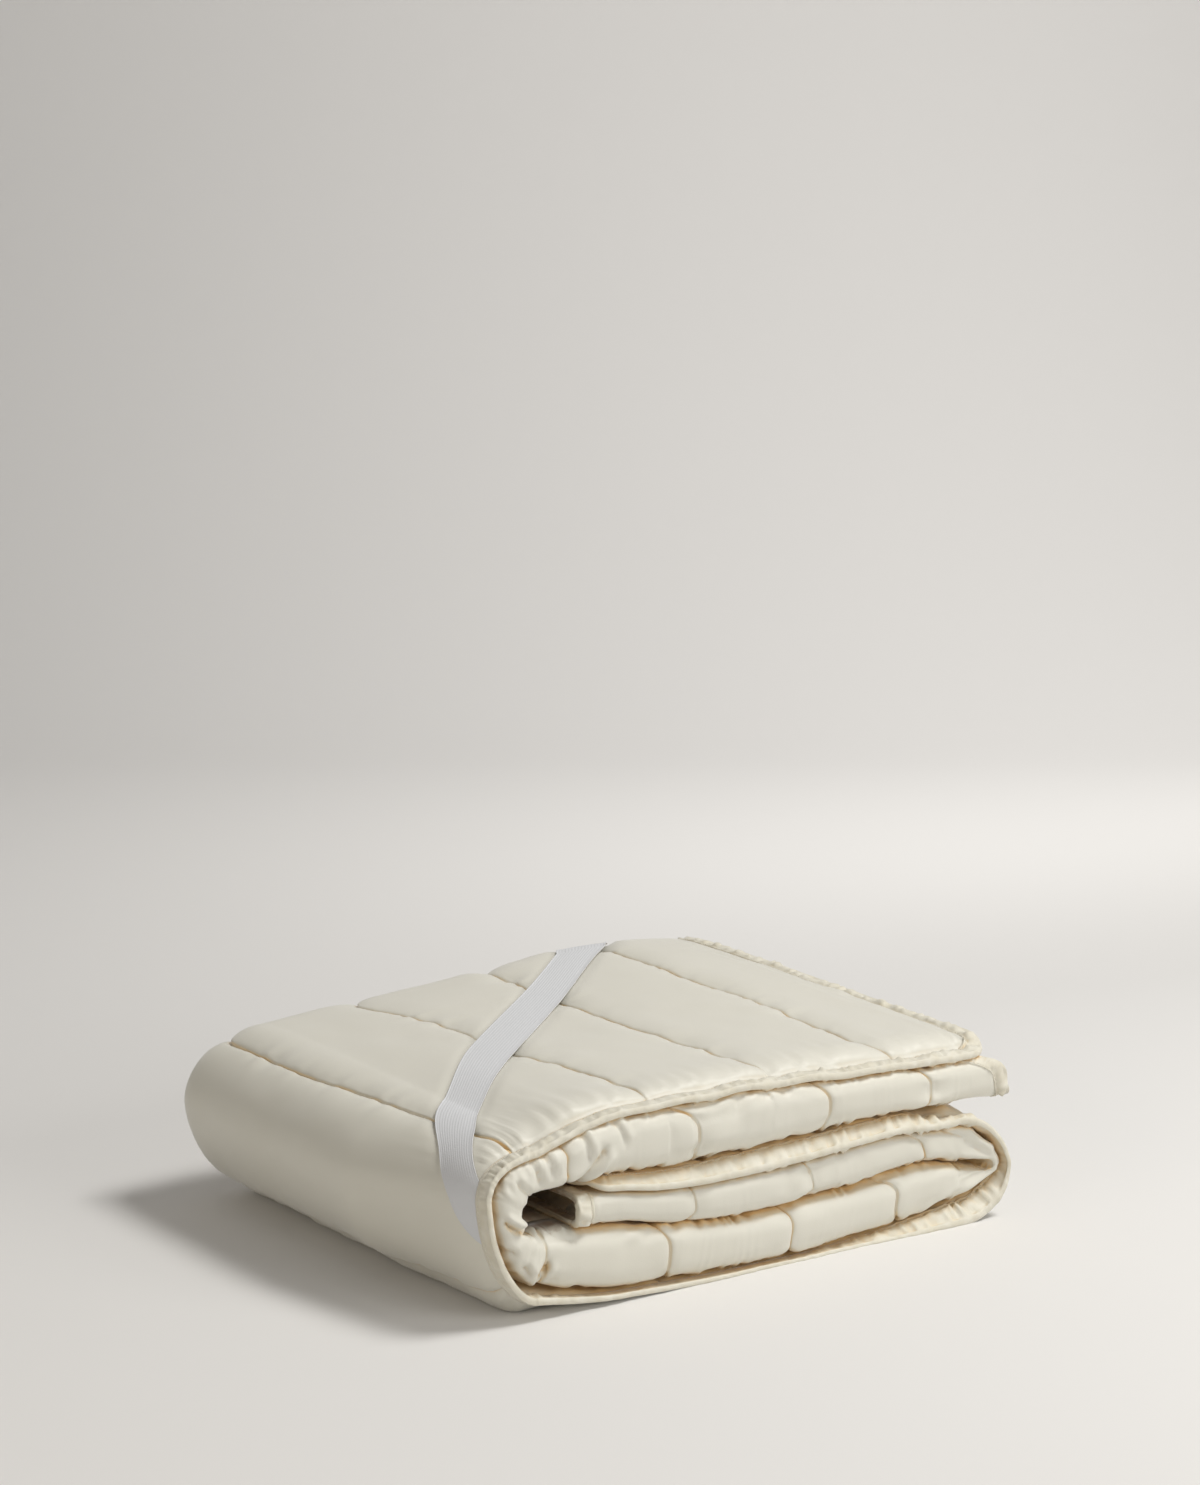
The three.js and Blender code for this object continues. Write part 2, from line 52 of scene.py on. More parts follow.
# Layers
PLY = 19.0
MIDDLE_OF_PLY = 0.5
GAP = 0.015
ROLL_GAP = 0.03
TURN_GAP = 0.035
BEND_EASE = 30.0
HEM_THICKNESS = 0.15
HEM_BAND = 15.0
HEM_BAND_BULGE = 0.06
HEM_WIDTH = 32.0
SEAM_THICKNESS = 0.26
SEAM_ROUNDING = 34.0
LOBE_SEAM_THICKNESS = 0.72
LOBE_SEAM_ROUNDING = 17.0
RUN_CLEARANCE = 0.5
BEDDED = 1.8

# Strip: top run, roll on the left, bottom run, tight turn on the right, middle run
TOP_START = 580.0
ROLL_X = 4.0
ROLL_LENGTH = 270.0
BOTTOM_LENGTH = 493.0
TURN_LENGTH = 150.0
MIDDLE_LENGTH = 497.0
ROLL_FROM = TOP_START - ROLL_X
BOTTOM_FROM = ROLL_FROM + ROLL_LENGTH
TURN_FROM = BOTTOM_FROM + BOTTOM_LENGTH
MIDDLE_FROM = TURN_FROM + TURN_LENGTH

# Folds across the width
NEAR_FOLD_Y = 18.0
NEAR_FOLD_REACH = 27.0
FAR_FOLD_Y = 468.0
FAR_FOLD_REACH = 38.0
FAR_FOLD_LENGTH = 95.0
NEAR_FOLD_LENGTH = 78.0
FAR_FOLD_POWER = 2.5
NEAR_FOLD_POWER = 3.0
INNER_EDGE_Y = 478.0
INNER_WIDTH = INNER_EDGE_Y - NEAR_FOLD_Y
INSIDE_BEND = 3.0
CORNER_RADIUS = 32.0
PART_LENGTHS = (FAR_FOLD_Y, FAR_FOLD_LENGTH, FAR_FOLD_Y - NEAR_FOLD_Y, NEAR_FOLD_LENGTH, INNER_WIDTH)
ACROSS_STOPS = np.concatenate([[0.0], np.cumsum(PART_LENGTHS)])
W_STOPS = np.arange(6.0)

# Where the cloth counts as round the near fold, in w
LOBE_FROM = 2.93
LOBE_TO = 3.97
LOBE_EASE = 0.1

# Slant of the strip's free end on top: how far it goes, and where along w it comes in, rounds
# off towards the near fold and goes on below it
START_SLANT = 24.0
SLANT_FROM = 2.3
SLANT_OVER = 0.6
TIP_AT = 3.8
TIP_OVER = 0.8
UNDER_TIP = 8.0
UNDER_TIP_OVER = 0.25

# Heights of the layer boundaries at each x
LEVEL_NAMES = ("x", "floor", "low", "crease", "shelf", "split", "under", "near", "far")
LEVEL_ROWS = (
    (4, 15, 31, 84, 101, 112, 150, 168, 175),
    (60, 8, 18, 75, 106, 117, 167, 184, 179),
    (160, 3, 12, 60, 97, 114, 173, 189, 187),
    (260, 1, 10, 55, 95, 115, 170, 189, 195),
    (370, 0, 12, 58, 101, 118, 167, 188, 206),
    (460, 0, 18, 64, 103, 119, 163, 185, 205),
    (580, 0, 30, 42, 90, 116, 163, 186, 192),
)
LEVELS = {name: np.array(column, float) for name, column in zip(LEVEL_NAMES, zip(*LEVEL_ROWS))}
CROWN_DEPTH = 455.0
FLOOR_LIFT_DEPTH = 32.0

# Each boundary's share of the crown, and the seed and size of its wander at the front edge
BOUNDARIES = {
    "near": (1.0, 31, 1.2),
    "under": (0.8, 31, 1.6),
    "split": (0.25, 32, 1.8),
    "shelf": (0.2, 32, 1.6),
    "crease": (0.0, 33, 2.4),
}
WANDER_LENGTH = 46.0
WANDER_DEPTH = 110.0

# The lobes rest into the bottom ply: how far, from and to which x, and how deep in
PRESS = 4.5
PRESS_FROM = 40.0
PRESS_FROM_EASE = 60.0
PRESS_TO = 420.0
PRESS_TO_EASE = 80.0
PRESS_DEPTH = 70.0

# Roll and turn: values at depth 0, 1 and 3, near the front edge and deeper in
ROLL_REACH = ((57.0, 46.0, 11.0), (92.0, 73.0, 18.0))
ROLL_WIDEST = ((120.0, 118.0, 97.0), (103.0, 101.0, 96.0))
ROLL_TAPER = 180.0
ROLL_LOWER_POWER = 1.75
TURN_START = (497.0, 492.0, 505.0)
TURN_TIP = ((562.0, 557.0, 538.0), (566.0, 553.0, 530.0))
TURN_TIP_HEIGHT = 51.0
TURN_LOW_POWER = (2.3, 1.55)
TURN_HIGH_POWER = (1.5, 1.6)
TURN_FILL_DEPTH = 70.0

# Sewn channels: each seam's place on the outer ply and on the near fold's upper side, nose and
# lower side
SEAM_ROWS = (
    ("top", 546, 537, 560, 572),
    ("top", 405, 447, 462, 454),
    ("top", 265, 318, 335, 328),
    ("top", 128, 149, 181, 179),
    ("roll", 33, -16, -20, -22),
    ("roll", 150, 183, 185, 186),
    ("bottom", 150, 150, 148, 137),
    ("bottom", 315, 292, 290, 280),
    ("bottom", 478, 433, 420, 397),
    ("middle", 465, 428, 452, 458),
    ("middle", 336, 304, 314, 314),
    ("middle", 200, 175, 177, 166),
    ("middle", 60, 52, 48, 50),
)
CHANNELS = len(SEAM_ROWS) - 1

# How far each top seam strays along the strip on its way back from the near edge
DRIFT_Y = np.array([0.0, 48.0, 110.0, 210.0, 330.0, 460.0])
DRIFT = {
    1: (-30.0, -11.0, -12.0, -14.0, -6.0, -6.0),
    2: (-18.0, -5.0, -2.0, 6.0, 3.0, -3.0),
    3: (-8.0, -4.0, 0.0, 9.0, 2.0, 22.0),
    4: (-24.0, -18.0, -16.0, -13.0, -3.0, -3.0),
}

# Stations along the strip, and how far the outer hem stands out in front there
PAST_END = 2000.0
HEM_REACH_ROWS = (
    (0.0, 2.0),
    (ROLL_FROM, 3.0),
    (BOTTOM_FROM, 5.0),
    (TURN_FROM - 110.0, 7.0),
    (TURN_FROM, 13.0),
    (MIDDLE_FROM, 10.0),
    (PAST_END, 6.0),
)
HEM_REACH_DEPTH = 55.0

# Stations along the strip, and the slant of the outer hem there: 1 where it hangs down over
# the inside and -1 where it leans out over the outside
HEM_SLANT_ROWS = (
    (0.0, 0.0),
    (TURN_FROM - 170.0, 0.0),
    (TURN_FROM - 60.0, -0.9),
    (MIDDLE_FROM - 50.0, -0.9),
    (MIDDLE_FROM + 60.0, 0.95),
    (PAST_END, 0.95),
)
SLANT_TURNOVER = 1.9

# Fall of the thin hem within its ply, and how far the two ends part from their neighbours
HEM_FALL = 0.4
FALL_TURNOVER = 1.6
WAVER = 0.25
WAVER_LENGTH = 38.0
WAVER_SEED = 11
END_SPREAD = 0.4
END_SPREAD_WAYS = (0.0, -1.0, -1.0, 1.0, 1.0, 0.0)

# Strap: distance across the sheet of its back and front edges
STRAP_THICKNESS = 1.3
STRAP_CLEARANCE = 0.45
STRAP_PRESS = 2.2
STRAP_PRESS_WIDTH = 16.0
STRAP_ROWS = (
    ("top", 430, 542, 483),
    ("top", 304, 427, 368),
    ("top", 95, 245, 180),
    ("top", 10, 153, 97),
    ("roll", 20, 119, 60),
    ("roll", 48, 74, 31),
    ("roll", 75, 50, 12),
    ("roll", 100, 35, 8),
    ("roll", 119, 14, 8),
)

# Waves of the cloth: height, length along the strip, length across it, and seed
BILLOW_WAVES = ((0.9, 55.0, 80.0, 1), (0.5, 27.0, 36.0, 2))
GATHER_WAVES = ((2.6, 9.0, 60.0, 7), (2.0, 5.0, 30.0, 8))
TAPE_WAVES = ((1.0, 4.4, 11.0, 21), (0.8, 9.0, 30.0, 22))
LIP_WAVES = ((0.7, 4.6, 1.0, 23), (0.6, 15.0, 1.0, 24))

# Puckers along the seams: height, length across the strip, step from seam to seam, and seed
PUCKER_WAVES = ((2.0, 14.0, 5.0, 3), (1.5, 9.0, 3.0, 4))
PUCKER_REACH = 14.0
PUCKER_AT_THREAD = 0.2
PUCKER_RISE = 5.0
PUCKER_PLAIN = 0.85
PUCKER_LOBE = 0.3
SEAM_CREASE = 0.9
SEAM_CREASE_WIDTH = 1.3

# Gathers at the outer hem, stronger round the turn and at the corner of the roll
GATHER_REACH = 18.0
GATHER_CORNER_REACH = 12.0
GATHER_TURN = 0.8
GATHER_CORNER = 0.7
CORNER_IN = 30.0
CORNER_HALF = 45.0
CORNER_EASE = 60.0
TURN_MARGIN = 90.0
TURN_EASE = 140.0

# Fine creases round the near fold: sharp ones beside the plies' contact, and pulled ones
CONTACT = 7.0
CONTACT_REACH = 8.0
LEAN_WAVE = ((4.0, 60.0, 1.0, 5),)
LEAN_OVER = 20.0
SHARP_WAVE = ((1.0, 9.0, 30.0, 6),)
SHARP_PATCHES = ((1.0, 24.0, 2.0, 9),)
SHARP_SHARE = 0.55
SHARP_HEIGHT = 3.4
SHARP_NARROW = 2.4
PULL_WAY = ((1.0, 70.0, 1.0, 14),)
PULL_WAVE = ((2.3, 17.0, 12.0, 12),)
PULL_PATCHES = ((1.0, 60.0, 1.0, 13),)
PULL_SHARE = 0.4
PULL_SLANT = 0.55

# Where wrinkles die out: at the hem's stitches, and between plies
HEM_EASE = 6.0
BURIED = 0.75
SHUT_FROM = 1.5
SHUT_EASE = 10.0

# Tucks in the near fold: start and end as x and z, width, and how far they sink and rise on
# the left of their way, before the factors below
TUCK_DEPTH = 2.0
TUCK_SPREAD = 1.3
TUCK_END = 4.0
RIDGE_HEIGHT = 2.2
RIDGE_PLACE = 2.6
RIDGE_SPREAD = 1.9
TUCKS = (
    ((76.0, 146.0), (43.0, 108.0), 2.8, 3.4, 1.8),
    ((-33.0, 97.0), (-18.0, 86.5), 2.0, 4.4, 2.2),
    ((-18.0, 86.5), (6.0, 81.0), 2.2, 4.0, 2.4),
    ((-6.0, 108.0), (-8.0, 86.0), 2.2, 3.4, 2.2),
    ((15.0, 52.0), (5.0, 36.0), 2.2, 3.2, 1.4),
    ((-20.0, 131.0), (-7.0, 118.0), 2.2, 1.8, 1.0),
    ((-2.0, 145.0), (7.0, 124.0), 2.4, 1.8, 1.2),
    ((12.0, 150.0), (20.0, 130.0), 2.2, 1.6, 1.0),
    ((52.0, 163.0), (58.0, 138.0), 2.6, 1.8, 1.2),
    ((88.0, 168.0), (97.0, 148.0), 2.4, 1.4, 0.9),
    ((-36.0, 74.0), (-20.0, 66.0), 2.2, 2.0, 1.2),
    ((-14.0, 56.0), (-6.0, 44.0), 2.2, 2.0, 1.2),
    ((20.0, 80.0), (44.0, 66.0), 3.0, 1.6, 1.2),
    ((500.0, 62.0), (545.0, 52.0), 2.4, 2.0, 1.2),
    ((505.0, 84.0), (540.0, 62.0), 2.6, 1.8, 1.4),
    ((500.0, 40.0), (544.0, 48.0), 2.6, 1.8, -1.2),
    ((478.0, 99.0), (520.0, 82.0), 2.6, 1.6, 1.2),
)


def lerp(a, b, f):
    return a + (b - a) * f


def smooth(f):
    c = np.clip(f, 0.0, 1.0)
    return c * c * (3.0 - 2.0 * c)


def at_depth(values, depth):
    outer, second, inner = values
    return np.where(depth < 1.0, lerp(outer, second, depth), lerp(second, inner, (depth - 1.0) / 2.0))


def curve_at(places, values, x):
    """Smooth curve through a table, read at x."""
    x = np.asarray(x, float)
    last = len(places) - 1
    i = np.clip(np.searchsorted(places, x, side="left") - 1, 0, last - 1)
    before = np.maximum(i - 1, 0)
    after = np.minimum(i + 2, last)
    width = places[i + 1] - places[i]
    slope_here = (values[i + 1] - values[before]) / (places[i + 1] - places[before]) * width
    slope_next = (values[after] - values[i]) / (places[after] - places[i]) * width
    f = np.clip((x - places[i]) / width, 0.0, 1.0)
    rise = values[i] - values[i + 1]
    cubic = 2.0 * rise + slope_here + slope_next
    square = -3.0 * rise - 2.0 * slope_here - slope_next
    return ((cubic * f + square) * f + slope_here) * f + values[i]


NOISE_SIZE = 128


def noise(x, y, seed):
    """Smooth noise from -1 to 1, with one random value at each whole x and y."""
    table = np.random.RandomState(seed).uniform(-1.0, 1.0, (NOISE_SIZE, NOISE_SIZE))
    x, y = np.broadcast_arrays(x, y)
    i = np.floor(x).astype(int)
    j = np.floor(y).astype(int)
    fx = smooth(x - i)
    fy = smooth(y - j)
    left, right = i % NOISE_SIZE, (i + 1) % NOISE_SIZE
    low, high = j % NOISE_SIZE, (j + 1) % NOISE_SIZE
    near = lerp(table[left, low], table[right, low], fx)
    far = lerp(table[left, high], table[right, high], fx)
    return lerp(near, far, fy)


def waves(rows, along, across, base=0.0):
    """Sum of noises, from a table of height, length along, length across and seed."""
    layers = (
        height * noise(along / length, across / width, seed) for height, length, width, seed in rows
    )
    return sum(layers, base)


def level_at(name, x):
    return curve_at(LEVELS["x"], LEVELS[name], x)


def quarter(angle, power):
    return (
        np.abs(np.cos(angle)) ** (2.0 / power),
        np.abs(np.sin(angle)) ** (2.0 / power),
    )


# The folded stack
def press_down(x, y):
    """How far the lobes rest into the bottom ply at the front edge."""
    start = smooth((x - PRESS_FROM) / PRESS_FROM_EASE)
    end = smooth((x - PRESS_TO) / PRESS_TO_EASE)
    return PRESS * start * (1.0 - end) * (1.0 - smooth(y / PRESS_DEPTH))


def crown(x, y):
    return (level_at("far", x) - level_at("near", x)) * smooth(y / CROWN_DEPTH)


def boundary(name, x, y, clearance=0.0):
    """Height of a boundary between layers, which wanders up and down near the front edge."""
    crown_share, seed, size = BOUNDARIES[name]
    wander = size * noise(x / WANDER_LENGTH, 0.0, seed) * (1.0 - smooth(y / WANDER_DEPTH))
    return level_at(name, x) + crown_share * crown(x, y) + clearance + wander


def top_height(x, depth, y):
    split = boundary("split", x, y, RUN_CLEARANCE)
    return at_depth((boundary("near", x, y), boundary("under", x, y), split), depth)


def middle_height(x, depth, y):
    split = boundary("split", x, y, -RUN_CLEARANCE)
    crease = boundary("crease", x, y, RUN_CLEARANCE)
    return at_depth((split, boundary("shelf", x, y), crease), depth)


def bottom_height(x, depth, y):
    lift = level_at("floor", x) * (1.0 - smooth(y / FLOOR_LIFT_DEPTH))
    low = level_at("low", x) - press_down(x, y)
    crease = boundary("crease", x, y, -RUN_CLEARANCE)
    return at_depth((lift - BEDDED, low, crease), depth)


def roll_point(angle, depth, y):
    back = np.clip(y / ROLL_TAPER, 0.0, 1.0)
    reach = lerp(at_depth(ROLL_REACH[0], depth), at_depth(ROLL_REACH[1], depth), back)
    widest = lerp(at_depth(ROLL_WIDEST[0], depth), at_depth(ROLL_WIDEST[1], depth), back)
    upper = np.cos(angle) > 0.0
    end = np.where(upper, top_height(ROLL_X, depth, y), bottom_height(ROLL_X, depth, y))
    across, along = quarter(angle, np.where(upper, 2.0, ROLL_LOWER_POWER))
    return ROLL_X - reach * along, lerp(widest, end, across)


def turn_point(angle, depth, y):
    fill = smooth(y / TURN_FILL_DEPTH)
    start = at_depth(TURN_START, depth)
    tip = lerp(at_depth(TURN_TIP[0], depth), at_depth(TURN_TIP[1], depth), fill)
    lower = np.cos(angle) > 0.0
    inward = np.clip(depth, 0.0, 1.0)
    power = np.where(lower, lerp(*TURN_LOW_POWER, inward), lerp(*TURN_HIGH_POWER, inward))
    end = np.where(lower, bottom_height(start, depth, y), middle_height(start, depth, y))
    across, along = quarter(angle, power)
    return start + (tip - start) * along, lerp(TURN_TIP_HEIGHT, end, across)


def folded_point(station, depth, y):
    """Places of stations, depths and y in the stack, as an array of points."""
    station, depth, y = np.broadcast_arrays(station, depth, y)
    start = at_depth(TURN_START, depth)
    top_x = TOP_START - station
    roll_x, roll_z = roll_point(np.pi * (station - ROLL_FROM) / ROLL_LENGTH, depth, y)
    bottom_x = lerp(ROLL_X, start, (station - BOTTOM_FROM) / BOTTOM_LENGTH)
    turn_x, turn_z = turn_point(np.pi * (station - TURN_FROM) / TURN_LENGTH, depth, y)
    middle_x = lerp(start, 0.0, (station - MIDDLE_FROM) / MIDDLE_LENGTH)
    runs = [station < ROLL_FROM, station < BOTTOM_FROM, station < TURN_FROM, station < MIDDLE_FROM]
    x = np.select(runs, [top_x, roll_x, bottom_x, turn_x], middle_x)
    z = np.select(
        runs,
        [top_height(top_x, depth, y), roll_z, bottom_height(bottom_x, depth, y), turn_z],
        middle_height(middle_x, depth, y),
    )
    return np.stack([x, y, np.maximum(z, 0.0)], axis=-1)


def station_of(run, place, depth):
    """Station of an x on a run, or of an angle in degrees round the roll."""
    start = float(at_depth(TURN_START, np.float64(depth)))
    if run == "top":
        return TOP_START - place
    if run == "roll":
        return ROLL_FROM + place / 180.0 * ROLL_LENGTH
    if run == "bottom":
        return BOTTOM_FROM + (place - ROLL_X) / (start - ROLL_X) * BOTTOM_LENGTH
    return MIDDLE_FROM + (start - place) / start * MIDDLE_LENGTH


# Stations of the seams on the middle of each ply, and how far the top ones stray
SEAM_OUTER, SEAM_UPPER, SEAM_NOSE, SEAM_LOWER = [
    np.array([station_of(row[0], row[column], depth) for row in SEAM_ROWS])
    for column, depth in ((1, 0.5), (2, 1.5), (3, 2.0), (4, 2.5))
]
DRIFT_TABLE = np.zeros((CHANNELS + 1, len(DRIFT_Y)))
for seam_number, strays in DRIFT.items():
    DRIFT_TABLE[seam_number] = strays


# The sheet
def across_of(w):
    return np.interp(w, W_STOPS, ACROSS_STOPS)


def w_of(across):
    return np.interp(across, ACROSS_STOPS, W_STOPS)


def across_width(w, face, gap):
    """Distance back and depth of a w, where face goes from 0 outside to 1."""
    part = np.clip(np.floor(w), 0.0, 4.0)
    f = w - part
    opened = lerp(gap, 1.0 - gap, face)
    shut = lerp(1.0 - gap, gap, face)
    across, along = quarter(f * np.pi, np.where(part == 3, NEAR_FOLD_POWER, FAR_FOLD_POWER))
    turned = np.where(f < 0.5, -across, across)
    far_reach = lerp(FAR_FOLD_REACH, INSIDE_BEND, face)
    near_reach = lerp(INSIDE_BEND, NEAR_FOLD_REACH, face)
    parts = [part == 0, part == 1, part == 2, part == 3]
    y = np.select(
        parts,
        [
            f * FAR_FOLD_Y,
            FAR_FOLD_Y + far_reach * along,
            lerp(FAR_FOLD_Y, NEAR_FOLD_Y, f),
            NEAR_FOLD_Y - near_reach * along,
        ],
        lerp(NEAR_FOLD_Y, INNER_EDGE_Y, f),
    )
    depth = np.select(
        parts, [opened, 1.0 + shut * turned, 1.0 + shut, 2.0 + opened * turned], 2.0 + opened
    )
    return y, depth


def from_edge(w):
    return np.where(w < 1.0, w * FAR_FOLD_Y, (5.0 - w) * INNER_WIDTH)


def corner_setback(w):
    inside = np.clip(CORNER_RADIUS - from_edge(w), 0.0, CORNER_RADIUS)
    return CORNER_RADIUS - np.sqrt(CORNER_RADIUS**2 - inside**2)


def seam_station(i, w):
    """Station of seam number i at w."""
    i, w = np.broadcast_arrays(i, w)
    outer = SEAM_OUTER[i]
    upper = SEAM_UPPER[i]
    nose = SEAM_NOSE[i]
    lower = SEAM_LOWER[i]
    y = np.clip(w, 0.0, 1.0) * FAR_FOLD_Y
    stray = np.zeros(w.shape)
    for number in DRIFT:
        stray = np.where(i == number, curve_at(DRIFT_Y, DRIFT_TABLE[number], y), stray)
    outer = outer + stray * (1.0 - smooth(w - 1.0))
    back = lerp(outer, upper, 0.5)
    station = np.select(
        [w < 1.0, w < 2.0, w < 3.0, w < 3.5, w < 4.0],
        [
            outer,
            lerp(outer, back, smooth(w - 1.0)),
            lerp(back, upper, smooth(w - 2.0)),
            lerp(upper, nose, smooth((w - 3.0) * 2.0)),
            lerp(nose, lower, smooth((w - 3.5) * 2.0)),
        ],
        lower,
    )
    setback = corner_setback(w)
    round_tip = 1.0 - np.sqrt(1.0 - np.clip((TIP_AT - w) / TIP_OVER, 0.0, 1.0) ** 2)
    under_tip = UNDER_TIP * smooth((w - TIP_AT) / UNDER_TIP_OVER)
    slanted = START_SLANT * smooth((w - SLANT_FROM) / SLANT_OVER) * round_tip + under_tip
    return station + np.where(i == 0, setback + slanted, 0.0) - np.where(i == CHANNELS, setback, 0.0)


def station_at(u, w):
    """Stations of u and w: a rising curve through the seams."""
    u, w = np.broadcast_arrays(u, w)
    i = np.minimum(np.floor(u), CHANNELS - 1).astype(int)
    f = u - i
    here = seam_station(i, w)
    there = seam_station(i + 1, w)
    step = there - here
    before = np.where(i > 0, here - seam_station(np.maximum(i - 1, 0), w), step)
    after = np.where(i < CHANNELS - 1, seam_station(np.minimum(i + 2, CHANNELS), w) - there, step)
    slope_here = 2.0 * before * step / (before + step)
    slope_next = 2.0 * step * after / (step + after)
    cubic = slope_here + slope_next - 2.0 * step
    square = 3.0 * step - 2.0 * slope_here - slope_next
    return ((cubic * f + square) * f + slope_here) * f + here


def puff(distance, rounding):
    f = np.clip(distance / rounding, 0.0, 1.0)
    return np.sqrt(1.0 - (1.0 - f) ** 2)


def edge_fall(station):
    into_bottom = smooth((station - ROLL_FROM) / ROLL_LENGTH)
    out_of_bottom = smooth((station - TURN_FROM) / TURN_LENGTH)
    return 1.0 - FALL_TURNOVER * into_bottom + FALL_TURNOVER * out_of_bottom


def along_strip(rows, station):
    """Value of a table of stations and values at a station."""
    return np.interp(station, *zip(*rows))


def end_spread(w):
    return END_SPREAD * np.interp(w, W_STOPS, END_SPREAD_WAYS)


def gap_at(station):
    in_roll = np.minimum(station - ROLL_FROM, BOTTOM_FROM - station)
    in_turn = np.minimum(station - TURN_FROM, MIDDLE_FROM - station)
    roll_gap = lerp(GAP, ROLL_GAP, smooth(1.0 + in_roll / BEND_EASE))
    turn_gap = lerp(GAP, TURN_GAP, smooth(1.0 + in_turn / BEND_EASE))
    return np.maximum(roll_gap, turn_gap)


def hem_profile(distance):
    """Thickness of a hem as a share of the ply: a flat band, a sewn groove, then the filling."""
    band = HEM_THICKNESS + HEM_BAND_BULGE * np.sin(np.pi * np.clip(distance / HEM_BAND, 0.0, 1.0))
    filled = lerp(HEM_THICKNESS, 1.0, puff(distance - HEM_BAND, HEM_WIDTH))
    return np.where(distance < HEM_BAND, band, filled)


def layer_point(station, w, channel_fill, end_fill, side, lift=0.0):
    """Points of the sheet, or above a face by a lift in plies."""
    edge_fill = hem_profile(from_edge(w))
    thickness = channel_fill * np.minimum(end_fill, edge_fill)
    slant = along_strip(HEM_SLANT_ROWS, station)
    waver = 1.0 + WAVER * noise(station / WAVER_LENGTH, 0.0, WAVER_SEED)
    level_fall = edge_fall(station) * waver * (1.0 - np.abs(slant))
    slant_fall = slant * (1.0 - SLANT_TURNOVER * smooth(from_edge(w) / HEM_BAND))
    fall = np.where(w < 1.0, HEM_FALL * (level_fall + slant_fall) * (1.0 - edge_fill), 0.0)
    spread = end_spread(w) * (1.0 - end_fill)
    face = MIDDLE_OF_PLY + fall + spread + side * (thickness / 2.0 + lift)
    y, depth = across_width(w, face, gap_at(station))
    reach = along_strip(HEM_REACH_ROWS, station)
    y = y - np.where(w < 1.0, reach * (1.0 - smooth(y / HEM_REACH_DEPTH)), 0.0)
    return folded_point(station, depth, y)


def channel_distances(u, w):
    """Distance to the nearest seam and to the nearest end of the strip."""
    channel = np.minimum(np.floor(u), CHANNELS - 1).astype(int)
    spacing = seam_station(channel + 1, w) - seam_station(channel, w)
    to_seam = np.minimum(u - channel, channel + 1 - u) * spacing
    to_end = np.minimum(u, CHANNELS - u) * spacing
    return to_seam, to_end


def on_near_fold(w):
    """1 round the near fold and 0 on the flat plies."""
    return smooth((w - LOBE_FROM) / LOBE_EASE) * (1.0 - smooth((w - LOBE_TO) / LOBE_EASE))


def strap_edges(station):
    places = np.array([station_of(run, at, 0.0) for run, at, _, _ in STRAP_ROWS])
    back = np.array([row[2] for row in STRAP_ROWS], float)
    front = np.array([row[3] for row in STRAP_ROWS], float)
    return curve_at(places, front, station), curve_at(places, back, station)


def strap_ends():
    first = station_of(*STRAP_ROWS[0][:2], 0.0)
    last = station_of(*STRAP_ROWS[-1][:2], 0.0)
    return first, last


def strap_cover(station, w):
    """1 under the strap, falling to 0 a little way beside it."""
    first, last = strap_ends()
    front, back = strap_edges(station)
    across = across_of(w)
    beside = np.maximum(np.maximum(front - across, across - back), 0.0)
    beyond = np.maximum(np.maximum(first - station, station - last), 0.0)
    return 1.0 - smooth(np.hypot(beside, beyond) / STRAP_PRESS_WIDTH)


def sheet_point(u, w, side):
    """Points of the quilted sheet. side is -1 on its first face and 1 on its second."""
    u, w = np.broadcast_arrays(np.asarray(u, float), np.asarray(w, float))
    station = station_at(u, w)
    to_seam, to_end = channel_distances(u, w)
    folded = on_near_fold(w)
    thinnest = lerp(SEAM_THICKNESS, LOBE_SEAM_THICKNESS, folded)
    rounding = lerp(SEAM_ROUNDING, LOBE_SEAM_ROUNDING, folded)
    channel_fill = lerp(thinnest, 1.0, puff(to_seam, rounding))
    press = np.where(side < 0, -STRAP_PRESS / PLY * strap_cover(station, w), 0.0)
    return layer_point(station, w, channel_fill, hem_profile(to_end), side, press)


def at_roll_corner(station):
    """1 where the outer hem bends from the top down over the roll, falling to 0 beside it."""
    apart = np.abs(station - ROLL_FROM - CORNER_IN) - CORNER_HALF
    return 1.0 - smooth(apart / CORNER_EASE)


def round_turn(station):
    """1 round the turn at the right, falling to 0 along the runs."""
    before = TURN_FROM - TURN_MARGIN - station
    after = station - MIDDLE_FROM - TURN_MARGIN
    return 1.0 - smooth(np.maximum(before, after) / TURN_EASE)


def hidden(w, side):
    """1 where a face of the sheet lies against another ply, and 0 where it is open."""
    outside = (w < SHUT_FROM) & (side < 0)
    folded = on_near_fold(w) * (side > 0)
    past_hem = np.where(w < 1.0, smooth((from_edge(w) - HEM_BAND) / SHUT_EASE), 1.0)
    return np.where(outside, 0.0, (1.0 - folded) * past_hem)


def seam_puckers(u, w, to_seam):
    across = across_of(w)
    seam_number = np.round(u)
    puckers = sum(
        height * noise(across / length, step * seam_number, seed)
        for height, length, step, seed in PUCKER_WAVES
    )
    fade = np.exp(-to_seam / PUCKER_REACH)
    rise = PUCKER_AT_THREAD + (1.0 - PUCKER_AT_THREAD) * smooth(to_seam / PUCKER_RISE)
    return puckers * fade * rise * (PUCKER_PLAIN + PUCKER_LOBE * on_near_fold(w))


